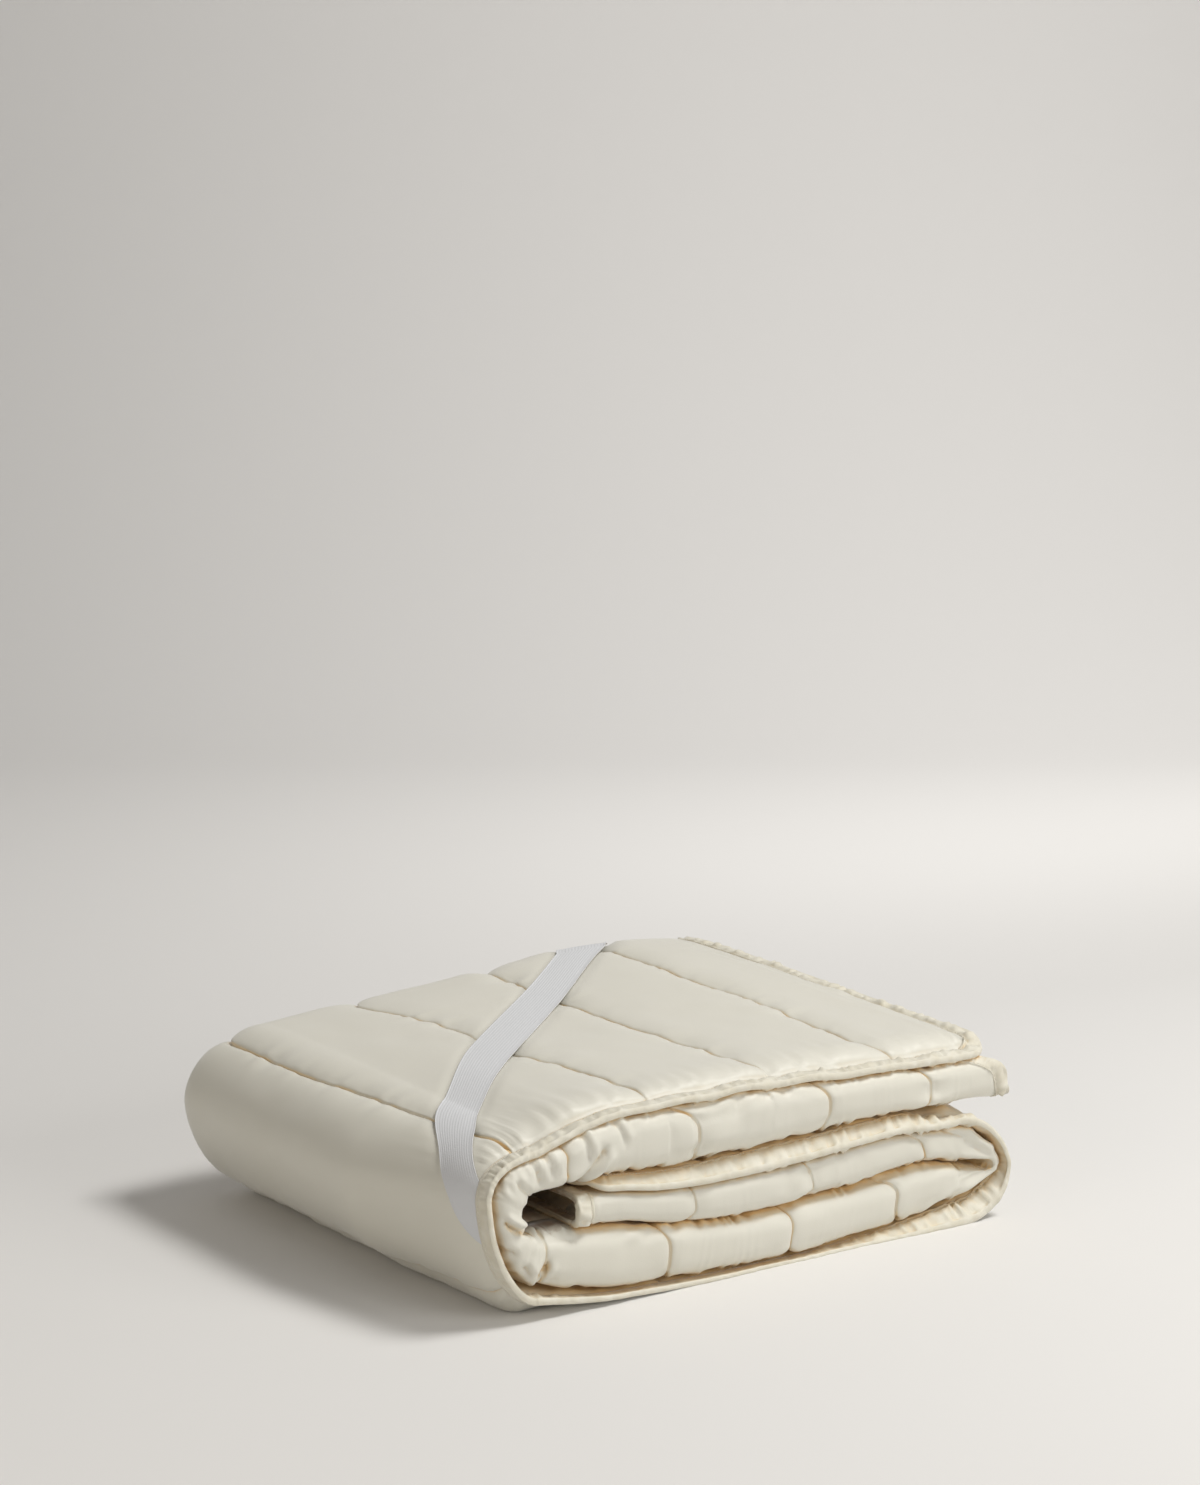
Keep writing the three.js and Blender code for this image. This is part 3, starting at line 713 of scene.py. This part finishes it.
def hem_gathers(station, across, to_hem):
    corner = at_roll_corner(station)
    reach = GATHER_REACH + GATHER_CORNER_REACH * corner
    fade = np.exp(-np.maximum(to_hem, 0.0) / reach)
    strength = 1.0 + GATHER_TURN * round_turn(station) + GATHER_CORNER * corner
    return waves(GATHER_WAVES, station, across) * fade * strength


def fold_creases(station, across, w):
    """Fine creases of the near fold: sharp ones by the contact, and ones pulled at a slant."""
    along_fold = np.clip(w - 3.0, 0.0, 1.0) * NEAR_FOLD_LENGTH
    to_contact = np.minimum(
        np.abs(along_fold - CONTACT), np.abs(NEAR_FOLD_LENGTH - CONTACT - along_fold)
    )
    lean = waves(LEAN_WAVE, station, 0.0) * (along_fold / LEAN_OVER)
    ridge = 1.0 - np.abs(waves(SHARP_WAVE, station + lean, across)) * SHARP_NARROW
    sharp_here = np.clip(SHARP_SHARE + waves(SHARP_PATCHES, station, w), 0.0, 1.0)
    sharp = SHARP_HEIGHT * ridge * np.exp(-to_contact / CONTACT_REACH) * sharp_here
    way = np.where(waves(PULL_WAY, station, 0.0) > 0.0, 1.0, -1.0)
    slanted = station + PULL_SLANT * along_fold * way
    pulled_here = np.clip(PULL_SHARE + waves(PULL_PATCHES, station, w), 0.0, 1.0)
    return sharp + waves(PULL_WAVE, slanted, across) * pulled_here


def wrinkles(u, w, side):
    """How far the cloth stands out from its smooth shape, in millimetres."""
    station = station_at(u, w)
    across = across_of(w)
    to_seam, to_end = channel_distances(u, w)
    to_hem = np.minimum(from_edge(w), to_end) - HEM_BAND
    billow = waves(BILLOW_WAVES, station, across)
    puckers = seam_puckers(u, w, to_seam)
    gathers = hem_gathers(station, across, to_hem) * (w < 1.0)
    creases = fold_creases(station, across, w) * on_near_fold(w)
    under_strap = np.where(side < 0, strap_cover(station, w), 0.0)
    free = smooth(to_hem / HEM_EASE) * (1.0 - under_strap)
    buried = 1.0 - BURIED * hidden(w, side)
    sewn = -SEAM_CREASE * np.exp(-((to_seam / SEAM_CREASE_WIDTH) ** 2))
    return free * buried * (billow + puckers + gathers + creases) + sewn


def tucked(points, w):
    """How far the near fold's listed tucks sink or rise on the second face."""
    x, z = points[..., 0], points[..., 2]
    total = np.zeros(x.shape)
    for (ax, az), (bx, bz), width, sunk, raised in TUCKS:
        length = math.hypot(bx - ax, bz - az)
        dx, dz = (bx - ax) / length, (bz - az) / length
        run = (x - ax) * dx + (z - az) * dz
        beside = (z - az) * dx - (x - ax) * dz
        first_end = smooth((run + TUCK_END) / (2.0 * TUCK_END))
        last_end = smooth((length + TUCK_END - run) / (2.0 * TUCK_END))
        groove = -TUCK_DEPTH * sunk * np.exp(-np.abs(beside) / (TUCK_SPREAD * width))
        off_ridge = (beside - RIDGE_PLACE * width) / (RIDGE_SPREAD * width)
        ridge = RIDGE_HEIGHT * raised * np.exp(-(off_ridge**2))
        total += first_end * last_end * (groove + ridge)
    return total * on_near_fold(w)


# Meshes
def place(points):
    return (np.asarray(points).reshape(-1, 3) - PART_ORIGIN) * MM


def new_object(name, points, faces, material):
    """Mesh object from points in working millimetres and faces, pointing out."""
    mesh = bpy.data.meshes.new(name)
    mesh.from_pydata(place(points).tolist(), [], [tuple(face) for face in faces])
    mesh.validate()
    mesh.polygons.foreach_set("use_smooth", [True] * len(mesh.polygons))
    mesh.materials.append(material)
    mesh.update()
    piece = bpy.data.objects.new(name, mesh)
    bpy.context.scene.collection.objects.link(piece)
    return piece


def signed_volume(points, faces):
    a, b, c, d = points.reshape(-1, 3)[faces.T]
    return np.sum(a * np.cross(b, c)) + np.sum(a * np.cross(c, d))


def outward(points, faces):
    """Quads of a closed mesh, turned to point out."""
    return faces[:, ::-1] if signed_volume(points, faces) < 0.0 else faces


def slab_faces(columns, rows):
    """Quads of a closed slab: two grids of columns by rows, and the rim between them."""
    i, j = np.meshgrid(np.arange(columns - 1), np.arange(rows - 1), indexing="ij")
    a = (i * rows + j).ravel()
    b = a + 1
    c = a + rows + 1
    d = a + rows
    size = columns * rows
    quads = [np.stack([a, b, c, d], 1), np.stack([a + size, d + size, c + size, b + size], 1)]
    along = np.arange(columns - 1) * rows
    across = np.arange(rows - 1)
    for here, step, turn in (
        (along, rows, False),
        (along + rows - 1, rows, True),
        (across, 1, True),
        (across + (columns - 1) * rows, 1, False),
    ):
        rim = np.stack([here, here + step, here + step + size, here + size], 1)
        quads.append(rim[:, ::-1] if turn else rim)
    return np.concatenate(quads)


def ring_faces(sections, sides):
    i, k = np.meshgrid(np.arange(sections), np.arange(sides), indexing="ij")
    here = i * sides
    there = (i + 1) % sections * sides
    after = (k + 1) % sides
    return np.stack([here + k, there + k, there + after, here + after], -1).reshape(-1, 4)


# Columns of the mesh: distances from each seam, and the spacing between, channel by channel
SEAM_STEPS = (0.0, 0.8, 1.8, 3.2, 5.2, 7.8, 11.0)
OUTER_SPACINGS = [3.8] * 6 + [8.5] * 2 + [6.5] * 4
FOLD_SPACINGS = [2.1] * CHANNELS
INNER_SPACINGS = [6.5] * CHANNELS

# Rows of the mesh across the sheet, as values of w: at the hems from distances to the edge
OUTER_HEM = (0, 2, 5, 8.5, 12, 14, 15, 16.5, 19, 22.5, 27, 32, 37.5, 43.5, 50, 56.5)
OUTER_PLY = np.concatenate([OUTER_HEM, np.linspace(63, 455, 78)]) / FAR_FOLD_Y
OUTER_ROWS = np.concatenate([OUTER_PLY, np.linspace(1.0, 2.0, 13), [2.2, 2.5]])
SECOND_PLY = (2.5, 2.75, 2.88, 2.94, 2.975)
NEAR_FOLD_ROWS = np.concatenate([SECOND_PLY, np.linspace(3.0, 4.0, 39), [4.02, 4.05]])
INNER_PLY = (4.05, 4.1, 4.16, 4.25, 4.37, 4.5, 4.63, 4.75, 4.84)
INNER_HEM = np.array((50, 34, 26, 21, 17, 15, 13, 8, 3, 0))
INNER_ROWS = np.concatenate([INNER_PLY, 5.0 - INNER_HEM / INNER_WIDTH])


def sheet_columns(spacings):
    """Values of u: close together at the seams, with a spacing between for each channel."""
    columns = []
    for channel, spacing in enumerate(spacings):
        width = SEAM_OUTER[channel + 1] - SEAM_OUTER[channel]
        seam = np.array(SEAM_STEPS) / width
        count = int(round((1.0 - 2.0 * seam[-1]) * width / spacing))
        between = np.linspace(seam[-1], 1.0 - seam[-1], count + 1)[1:-1]
        columns.append(channel + np.concatenate([seam, between, 1.0 - seam[:0:-1]]))
    return np.append(np.concatenate(columns), float(CHANNELS))


def vertex_normals(points, faces):
    corners = points[faces]
    normal = np.cross(corners[:, 2] - corners[:, 0], corners[:, 3] - corners[:, 1])
    total = np.zeros_like(points)
    for corner in range(4):
        np.add.at(total, faces[:, corner], normal)
    return unit(total)


def unit(vectors):
    return vectors / np.maximum(np.linalg.norm(vectors, axis=-1, keepdims=True), 1e-9)


def quilted_sheet(name, columns, rows, material):
    """Closed piece of the quilted sheet, with its wrinkles and tucks."""
    u, w = np.meshgrid(columns, rows, indexing="ij")
    sides = (-1.0, 1.0)
    points = np.concatenate([sheet_point(u, w, side).reshape(-1, 3) for side in sides])
    raised = np.concatenate([wrinkles(u, w, side).ravel() for side in sides])
    half = len(points) // 2
    raised[half:] += tucked(points[half:], w.ravel())
    faces = outward(points, slab_faces(len(columns), len(rows)))
    points = points + vertex_normals(points, faces) * raised[:, None]
    points[:, 2] = np.maximum(points[:, 2], 0.0)
    return new_object(name, points, faces, material)


# Binding, wrapped round the rim of the sheet and sewn through
RIM_STEP = 2.2
HEM_SAMPLES = 400
END_SAMPLES = 3000
STEP_IN = 4.0

# Tape: distance in from the edge, and how slack it is there
TAPE_ROWS = (
    (15.0, 0.3),
    (13.6, 0.25),
    (12.5, 0.0),
    (11.4, 0.35),
    (9.0, 0.9),
    (6.0, 1.0),
    (3.0, 0.9),
    (1.0, 0.8),
)
TAPE_LIFT = 0.35
TAPE_GATHER = 2.1
TAPE_TURN_GATHER = 0.9
TAPE_RISE = 0.9
LIP_REACH = 2.4
LIP_STEPS = 7

# Stitches
STITCH_OFFSET = 12.5
STITCH_PITCH = 3.6
STITCH_LENGTH = 2.5
STITCH_RADIUS = 0.32
STITCH_LIFT = 0.25
STITCH_SIDES = 5


def rim_line(step):
    """Stops round the flat sheet's rim: station, distance across and the way in."""
    count = HEM_SAMPLES
    w_up = np.linspace(0.0, 5.0, END_SAMPLES)
    hem_s = np.linspace(seam_station(0, 0.0), seam_station(CHANNELS, 0.0), count)
    far_s = np.linspace(seam_station(CHANNELS, 5.0), seam_station(0, 5.0), count)
    station = np.concatenate(
        [hem_s, seam_station(CHANNELS, w_up), far_s, seam_station(0, w_up[::-1])]
    )
    across = np.concatenate(
        [np.zeros(count), across_of(w_up), np.full(count, ACROSS_STOPS[-1]), across_of(w_up[::-1])]
    )
    length = np.concatenate([[0.0], np.cumsum(np.hypot(np.diff(station), np.diff(across)))])
    stops = np.linspace(0.0, length[-1], int(length[-1] / step) + 1)[:-1]
    station = np.interp(stops, length, station)
    across = np.interp(stops, length, across)
    ds = np.roll(station, -2) - np.roll(station, 2)
    da = np.roll(across, -2) - np.roll(across, 2)
    size = np.hypot(ds, da)
    return stops, station, across, -da / size, ds / size


def flat_point(station, across, side, lift=0.0):
    """Points of the sheet at a station and a distance across, away from its seams."""
    w = w_of(across)
    to_end = np.minimum(station - seam_station(0, w), seam_station(CHANNELS, w) - station)
    return layer_point(station, w, 1.0, hem_profile(np.maximum(to_end, 0.0)), side, lift)


def rim_frame(station, across, in_s, in_a):
    """Edge, way out and way up of the rim, where up leaves the sheet's first face."""
    edge = flat_point(station, across, 0.0)
    inside = flat_point(station + STEP_IN * in_s, across + STEP_IN * in_a, 0.0)
    face = flat_point(station, across, -1.0) - flat_point(station, across, 1.0)
    along = unit(np.roll(edge, -1, axis=0) - np.roll(edge, 1, axis=0))
    up = unit(face - along * np.sum(face * along, axis=1, keepdims=True))
    out = np.cross(along, up)
    out *= np.sign(np.sum(out * (edge - inside), axis=1, keepdims=True))
    return edge, out, up, np.linalg.norm(face, axis=1)


def tape_band(rim, side, rows):
    """Lines of the tape on one face of the hem, with their slack."""
    stops, station, across, in_s, in_a = rim
    band = []
    loosest = TAPE_GATHER * (1.0 + TAPE_TURN_GATHER * round_turn(station) * (across < HEM_WIDTH))
    for offset, slack in rows:
        gather = waves(TAPE_WAVES, stops, offset)
        height = TAPE_LIFT + loosest * slack * np.maximum(TAPE_RISE + gather, 0.0)
        s = station + offset * in_s
        a = across + offset * in_a
        band.append(flat_point(s, a, side, height / PLY))
    return band


def edge_binding(material):
    rim = rim_line(RIM_STEP)
    stops = rim[0]
    edge, out, up, thickness = rim_frame(*rim[1:])
    first_face = tape_band(rim, -1.0, TAPE_ROWS)
    second_face = tape_band(rim, 1.0, TAPE_ROWS[::-1])
    lip = []
    half = thickness / 2.0 + TAPE_LIFT + TAPE_GATHER
    reach = waves(LIP_WAVES, stops, 0.0, LIP_REACH)
    for angle in np.linspace(np.pi / 2.0, -np.pi / 2.0, LIP_STEPS + 2)[1:-1]:
        lip.append(edge + up * (half * np.sin(angle))[:, None] + out * (reach * np.cos(angle))[:, None])
    rows = first_face + lip + second_face
    points = np.stack(rows, axis=1)
    points[..., 2] = np.maximum(points[..., 2], 0.0)
    faces = outward(points, ring_faces(len(stops), len(rows)))
    return new_object("hem_binding", points, faces, material)


def spindle_faces(first):
    """Faces of a stitch whose points are one end, two rings and the other end."""
    faces = []
    near_ring = first + 1
    far_ring = near_ring + STITCH_SIDES
    last = far_ring + STITCH_SIDES
    for n in range(STITCH_SIDES):
        m = (n + 1) % STITCH_SIDES
        faces.append((first, near_ring + m, near_ring + n))
        faces.append((near_ring + n, near_ring + m, far_ring + m, far_ring + n))
        faces.append((last, far_ring + n, far_ring + m))
    return faces


def hem_stitches(material):
    """One small spindle of thread for each stitch, on both faces of the binding."""
    _, station, across, in_s, in_a = rim_line(STITCH_PITCH)
    points = []
    faces = []
    ring = np.arange(STITCH_SIDES) * 2.0 * np.pi / STITCH_SIDES
    for side in (-1.0, 1.0):
        s = station + STITCH_OFFSET * in_s
        a = across + STITCH_OFFSET * in_a
        middle = flat_point(s, a, side, (TAPE_LIFT + STITCH_LIFT) / PLY)
        above = flat_point(s, a, side, (TAPE_LIFT + STITCH_LIFT + 1.0) / PLY)
        along = unit(np.roll(middle, -1, axis=0) - np.roll(middle, 1, axis=0))
        up = unit(above - middle)
        beside = np.cross(along, up)
        for k in range(len(middle)):
            faces += spindle_faces(len(points))
            half = along[k] * STITCH_LENGTH / 2.0
            points.append(middle[k] - half)
            for end in (-0.5, 0.5):
                for angle in ring:
                    swing = beside[k] * math.cos(angle) + up[k] * math.sin(angle)
                    points.append(middle[k] + half * end + swing * STITCH_RADIUS)
            points.append(middle[k] + half)
    return new_object("hem_stitching", np.array(points), faces, material)


# Elastic strap
STRAP_COLUMNS = 260
STRAP_LINES = 91
SELVEDGE_HEIGHT = 0.45
SELVEDGE_WIDTH = 0.035
CORD_HEIGHT = 0.1
CORDS = 15.0


def strap_point(station, band, height):
    front, back = strap_edges(station)
    w = w_of(lerp(front, back, band))
    return layer_point(station, w, 1.0, 1.0, -1.0, height / PLY)


def elastic_strap(material):
    first, last = strap_ends()
    stations = np.linspace(first, last, STRAP_COLUMNS)
    bands = np.linspace(0.0, 1.0, STRAP_LINES)
    s, b = np.meshgrid(stations, bands, indexing="ij")
    base = STRAP_CLEARANCE - STRAP_PRESS
    selvedge = SELVEDGE_HEIGHT * np.exp(-((np.minimum(b, 1.0 - b) / SELVEDGE_WIDTH) ** 2))
    cords = CORD_HEIGHT * np.cos(b * 2.0 * np.pi * CORDS)
    bottom = strap_point(s, b, base)
    top = strap_point(s, b, base + STRAP_THICKNESS + selvedge + cords)
    points = np.concatenate([top.reshape(-1, 3), bottom.reshape(-1, 3)])
    faces = outward(points, slab_faces(len(stations), len(bands)))
    return new_object("strap", points, faces, material)


# Materials of the cloth: light and dark colour and the scale of the clouds between them, colour
# of painted shade in hollows, roughness, sheen, and scale and strength of the weave
CLOTHS = {
    "cotton_sateen": (
        (0.682, 0.665, 0.592), (0.655, 0.635, 0.55), 9.0, (0.78, 0.57, 0.29), 0.47, 0.35, 900.0, 0.25
    ),
    "binding_tape": (
        (0.75, 0.735, 0.66), (0.58, 0.53, 0.40), 70.0, (0.74, 0.55, 0.30), 0.6, 0.3, 900.0, 0.3
    ),
    "sewing_thread": (
        (0.74, 0.70, 0.60), (0.70, 0.66, 0.55), 9.0, (0.56, 0.42, 0.25), 0.6, 0.2, 2500.0, 0.2
    ),
    "woven_elastic": (
        (0.655, 0.665, 0.68), (0.615, 0.625, 0.645), 9.0, (0.36, 0.33, 0.28), 0.75, 0.2, 700.0, 0.5
    ),
}
# Painted warm shade: how closed in a point must be before the hollow colour comes in
HOLLOW_SHADE_RANGE = (0.1, 0.72)
# Painted dark shade deep inside the roll's hole: range of closure, colour and how far it goes
CAVE_SHADE_RANGE = (0.3, 0.6)
CAVE_SHADE_COLOUR = (0.26, 0.13, 0.045)
CAVE_SHADE_SHARE = 0.9
CLOUD_DETAIL = 4.0
WEAVE_DETAIL = 2.0
WEAVE_HEIGHT = 0.0004
SHEEN_ROUGHNESS = 0.4
CLOTH_SPECULAR = 0.45


def node_material(name):
    material = bpy.data.materials.new(name)
    material.use_nodes = True
    tree = material.node_tree
    shader = tree.nodes["Principled BSDF"]
    return material, tree, shader


def noise_texture(tree, scale, detail):
    place_node = tree.nodes.new("ShaderNodeTexCoord")
    texture = tree.nodes.new("ShaderNodeTexNoise")
    texture.inputs["Scale"].default_value = scale
    texture.inputs["Detail"].default_value = detail
    tree.links.new(place_node.outputs["Object"], texture.inputs["Vector"])
    return texture.outputs["Fac"]


def colour_mix(tree, factor, colour):
    """Mix that goes to a colour where factor is 1. Its first colour is left to be set."""
    mix = tree.nodes.new("ShaderNodeMix")
    mix.data_type = "RGBA"
    mix.inputs["B"].default_value = (*colour, 1.0)
    tree.links.new(factor, mix.inputs["Factor"])
    return mix


def stored_value(tree, name):
    attribute = tree.nodes.new("ShaderNodeAttribute")
    attribute.attribute_name = name
    return attribute.outputs["Fac"]


def map_range(tree, value, ends, to_max=1.0):
    spread = tree.nodes.new("ShaderNodeMapRange")
    spread.inputs["From Min"].default_value, spread.inputs["From Max"].default_value = ends
    spread.inputs["To Max"].default_value = to_max
    tree.links.new(value, spread.inputs["Value"])
    return spread.outputs["Result"]


def cloth_material(name):
    light, dark, cloud_scale, hollow, roughness, sheen, weave_scale, weave_strength = CLOTHS[name]
    material, tree, shader = node_material(name)
    links = tree.links
    tint = colour_mix(tree, noise_texture(tree, cloud_scale, CLOUD_DETAIL), light)
    tint.inputs["A"].default_value = (*dark, 1.0)
    # Painted warm shade in creases, seams and contact lines: the colour goes towards the hollow colour
    # where the surfaces near by close a point in
    closed = stored_value(tree, "hollow")
    warm_shade = colour_mix(tree, map_range(tree, closed, HOLLOW_SHADE_RANGE), hollow)
    links.new(tint.outputs["Result"], warm_shade.inputs["A"])
    # Painted dark shade deep inside the roll's hole: closure further off less closure near by, mixed
    # towards the dark cave colour
    further = tree.nodes.new("ShaderNodeMath")
    further.operation = "SUBTRACT"
    links.new(stored_value(tree, "cave_shade"), further.inputs[0])
    links.new(closed, further.inputs[1])
    cave_shade_amount = map_range(tree, further.outputs["Value"], CAVE_SHADE_RANGE, CAVE_SHADE_SHARE)
    deep = colour_mix(tree, cave_shade_amount, CAVE_SHADE_COLOUR)
    links.new(warm_shade.outputs["Result"], deep.inputs["A"])
    links.new(deep.outputs["Result"], shader.inputs["Base Color"])
    bump = tree.nodes.new("ShaderNodeBump")
    bump.inputs["Strength"].default_value = weave_strength
    bump.inputs["Distance"].default_value = WEAVE_HEIGHT
    links.new(noise_texture(tree, weave_scale, WEAVE_DETAIL), bump.inputs["Height"])
    links.new(bump.outputs["Normal"], shader.inputs["Normal"])
    shader.inputs["Roughness"].default_value = roughness
    shader.inputs["Sheen Weight"].default_value = sheen
    shader.inputs["Sheen Roughness"].default_value = SHEEN_ROUGHNESS
    shader.inputs["Specular IOR Level"].default_value = CLOTH_SPECULAR
    return material


# Hollows: how closed in each point of a mesh is, near by and further off, kept as attributes
# that drive the painted shade in the cloth materials
HOLLOW_RAYS = 10
HOLLOW_REACHES = {"hollow": 0.034, "cave_shade": 0.13}
RAY_SPREAD = 0.94
RAY_START = 0.0006
NEARLY_UPRIGHT = 0.9


def ray_directions():
    """Even directions over the upper half of a ball."""
    n = np.arange(HOLLOW_RAYS) + 0.5
    rise = 1.0 - n / HOLLOW_RAYS * RAY_SPREAD
    turn = n * np.pi * (1.0 + math.sqrt(5.0))
    flat = np.sqrt(1.0 - rise**2)
    return np.stack([flat * np.cos(turn), flat * np.sin(turn), rise], axis=1), rise


def mark_hollows(pieces, around):
    """Stores on each piece how much of its open side the surfaces around it close off."""
    places = []
    corners = []
    for piece in around:
        corners += [[v + len(places) for v in polygon.vertices] for polygon in piece.data.polygons]
        places += [vertex.co[:] for vertex in piece.data.vertices]
    cast = BVHTree.FromPolygons(places, corners).ray_cast
    directions, weights = ray_directions()
    furthest = max(HOLLOW_REACHES.values())
    for piece in pieces:
        mesh = piece.data
        normal = np.array([vertex.normal[:] for vertex in mesh.vertices])
        start = np.array([vertex.co[:] for vertex in mesh.vertices]) + normal * RAY_START
        spare = np.where(np.abs(normal[:, 2:]) < NEARLY_UPRIGHT, [[0.0, 0.0, 1.0]], [[1.0, 0.0, 0.0]])
        side = unit(np.cross(normal, spare))
        other = np.cross(normal, side)
        closed = {name: np.zeros(len(normal)) for name in HOLLOW_REACHES}
        for (a, b, c), weight in zip(directions, weights):
            ways = side * a + other * b + normal * c
            hits = [cast(p, d, furthest)[3] for p, d in zip(start.tolist(), ways.tolist())]
            near = np.array([furthest if hit is None else hit for hit in hits])
            for name, reach in HOLLOW_REACHES.items():
                closed[name] += weight * (1.0 - np.minimum(near / reach, 1.0))
        for name, amount in closed.items():
            attribute = mesh.attributes.new(name, "FLOAT", "POINT")
            attribute.data.foreach_set("value", np.clip(amount / weights.sum(), 0.0, 1.0))


cotton = cloth_material("cotton_sateen")
outer_pad = quilted_sheet("pad_outer", sheet_columns(OUTER_SPACINGS), OUTER_ROWS, cotton)
near_fold = quilted_sheet("pad_near_fold", sheet_columns(FOLD_SPACINGS), NEAR_FOLD_ROWS, cotton)
inner_pad = quilted_sheet("pad_inner", sheet_columns(INNER_SPACINGS), INNER_ROWS, cotton)
pad_pieces = [outer_pad, near_fold, inner_pad]
binding = edge_binding(cloth_material("binding_tape"))
stitching = hem_stitches(cloth_material("sewing_thread"))
strap = elastic_strap(cloth_material("woven_elastic"))
mark_hollows(pad_pieces + [strap], pad_pieces)
mark_hollows([binding], pad_pieces + [binding])

for piece, node, slot in (
    (outer_pad, "quilted_pad", "quilted_cotton"),
    (near_fold, "quilted_pad", "quilted_cotton"),
    (inner_pad, "quilted_pad", "quilted_cotton"),
    (binding, "edge_binding", "binding_cotton"),
    (stitching, "edge_binding", "binding_cotton"),
    (strap, "elastic_strap", "elastic"),
):
    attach(piece, "root")
    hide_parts(node)


# Stage, in metres
STAGE_COLOUR = (0.755, 0.744, 0.727, 1.0)
STAGE_ROUGHNESS = 0.9
STAGE_SPECULAR = 0.1
FLOOR_NEAR = -6.0
WALL_PLACE = 5.0
WALL_HEIGHT = 6.0
STAGE_HALF_WIDTH = 12.0
SWEEP_RADIUS = 2.0
SWEEP_STEPS = 16

# Camera, from the photograph's own perspective
CAMERA_PLACE = (-1.6197, -2.2953, 0.866)
CAMERA_TURN = math.radians(-35.34)
CAMERA_TILT = math.radians(90.0 - 8.09)
CAMERA_REACH = 60.0
FOCAL_PIXELS = 2900.0
IMAGE_HEIGHT = 1485.0
SENSOR = 36.0

# Lights: name, place, what they point at, size, power and colour
BUNDLE_MIDDLE = (0.0, 0.0, 0.1)
LIGHTS = (
    ("key", (1.6, -1.15, 3.5), BUNDLE_MIDDLE, (1.2, 1.2), 104.0, (1.0, 0.99, 0.97)),
    ("front", (1.3, -3.4, 1.5), BUNDLE_MIDDLE, (2.0, 1.4), 45.0, (1.0, 0.985, 0.955)),
    ("left", (-3.2, -0.8, 1.2), BUNDLE_MIDDLE, (2.0, 1.6), 14.0, (1.0, 0.89, 0.74)),
    ("wall", (2.3, 1.3, 1.9), (2.6, 3.9, 0.5), (2.6, 2.6), 27.0, (1.0, 0.985, 0.97)),
)
WORLD_COLOUR = (1.0, 0.98, 0.955, 1.0)
WORLD_STRENGTH = 0.275


def stage_material():
    material, _, shader = node_material("studio_paper")
    shader.inputs["Base Color"].default_value = STAGE_COLOUR
    shader.inputs["Roughness"].default_value = STAGE_ROUGHNESS
    shader.inputs["Specular IOR Level"].default_value = STAGE_SPECULAR
    return material


def studio_sweep():
    """Floor that curves up into a wall behind the object, square to the camera."""
    radius = SWEEP_RADIUS
    profile = [(FLOOR_NEAR, 0.0)]
    for step in range(SWEEP_STEPS + 1):
        angle = step / SWEEP_STEPS * math.pi / 2.0
        back = WALL_PLACE - radius + radius * math.sin(angle)
        profile.append((back, radius - radius * math.cos(angle)))
    profile.append((WALL_PLACE, WALL_HEIGHT))
    turn = Euler((0.0, 0.0, CAMERA_TURN))
    points = []
    for along, z in profile:
        for side in (-STAGE_HALF_WIDTH, STAGE_HALF_WIDTH):
            point = Vector((side, along, z))
            point.rotate(turn)
            points.append(tuple(point))
    faces = [(2 * k, 2 * k + 1, 2 * k + 3, 2 * k + 2) for k in range(len(profile) - 1)]
    mesh = bpy.data.meshes.new("studio_sweep")
    mesh.from_pydata(points, [], faces)
    mesh.polygons.foreach_set("use_smooth", [True] * len(mesh.polygons))
    mesh.materials.append(stage_material())
    mesh.update()
    sweep = bpy.data.objects.new("studio_sweep", mesh)
    bpy.context.scene.collection.objects.link(sweep)


def add_camera():
    data = bpy.data.cameras.new("camera")
    data.sensor_fit = "VERTICAL"
    data.sensor_height = SENSOR
    data.sensor_width = SENSOR
    data.lens = FOCAL_PIXELS * SENSOR / IMAGE_HEIGHT
    data.clip_end = CAMERA_REACH
    camera = bpy.data.objects.new("camera", data)
    camera.location = CAMERA_PLACE
    camera.rotation_euler = (CAMERA_TILT, 0.0, CAMERA_TURN)
    bpy.context.scene.collection.objects.link(camera)
    bpy.context.scene.camera = camera


def add_area_light(name, location, target, size, power, colour):
    data = bpy.data.lights.new(name, "AREA")
    data.shape = "RECTANGLE"
    data.size, data.size_y = size
    data.energy = power
    data.color = colour
    light = bpy.data.objects.new(name, data)
    light.location = location
    aim = Vector(target) - Vector(location)
    light.rotation_euler = aim.to_track_quat("-Z", "Y").to_euler()
    bpy.context.scene.collection.objects.link(light)


def add_world():
    world = bpy.data.worlds.new("studio")
    world.use_nodes = True
    background = world.node_tree.nodes["Background"]
    background.inputs["Color"].default_value = WORLD_COLOUR
    background.inputs["Strength"].default_value = WORLD_STRENGTH
    bpy.context.scene.world = world


studio_sweep()
add_camera()
for light in LIGHTS:
    add_area_light(*light)
add_world()
bpy.context.scene.view_settings.view_transform = "Standard"
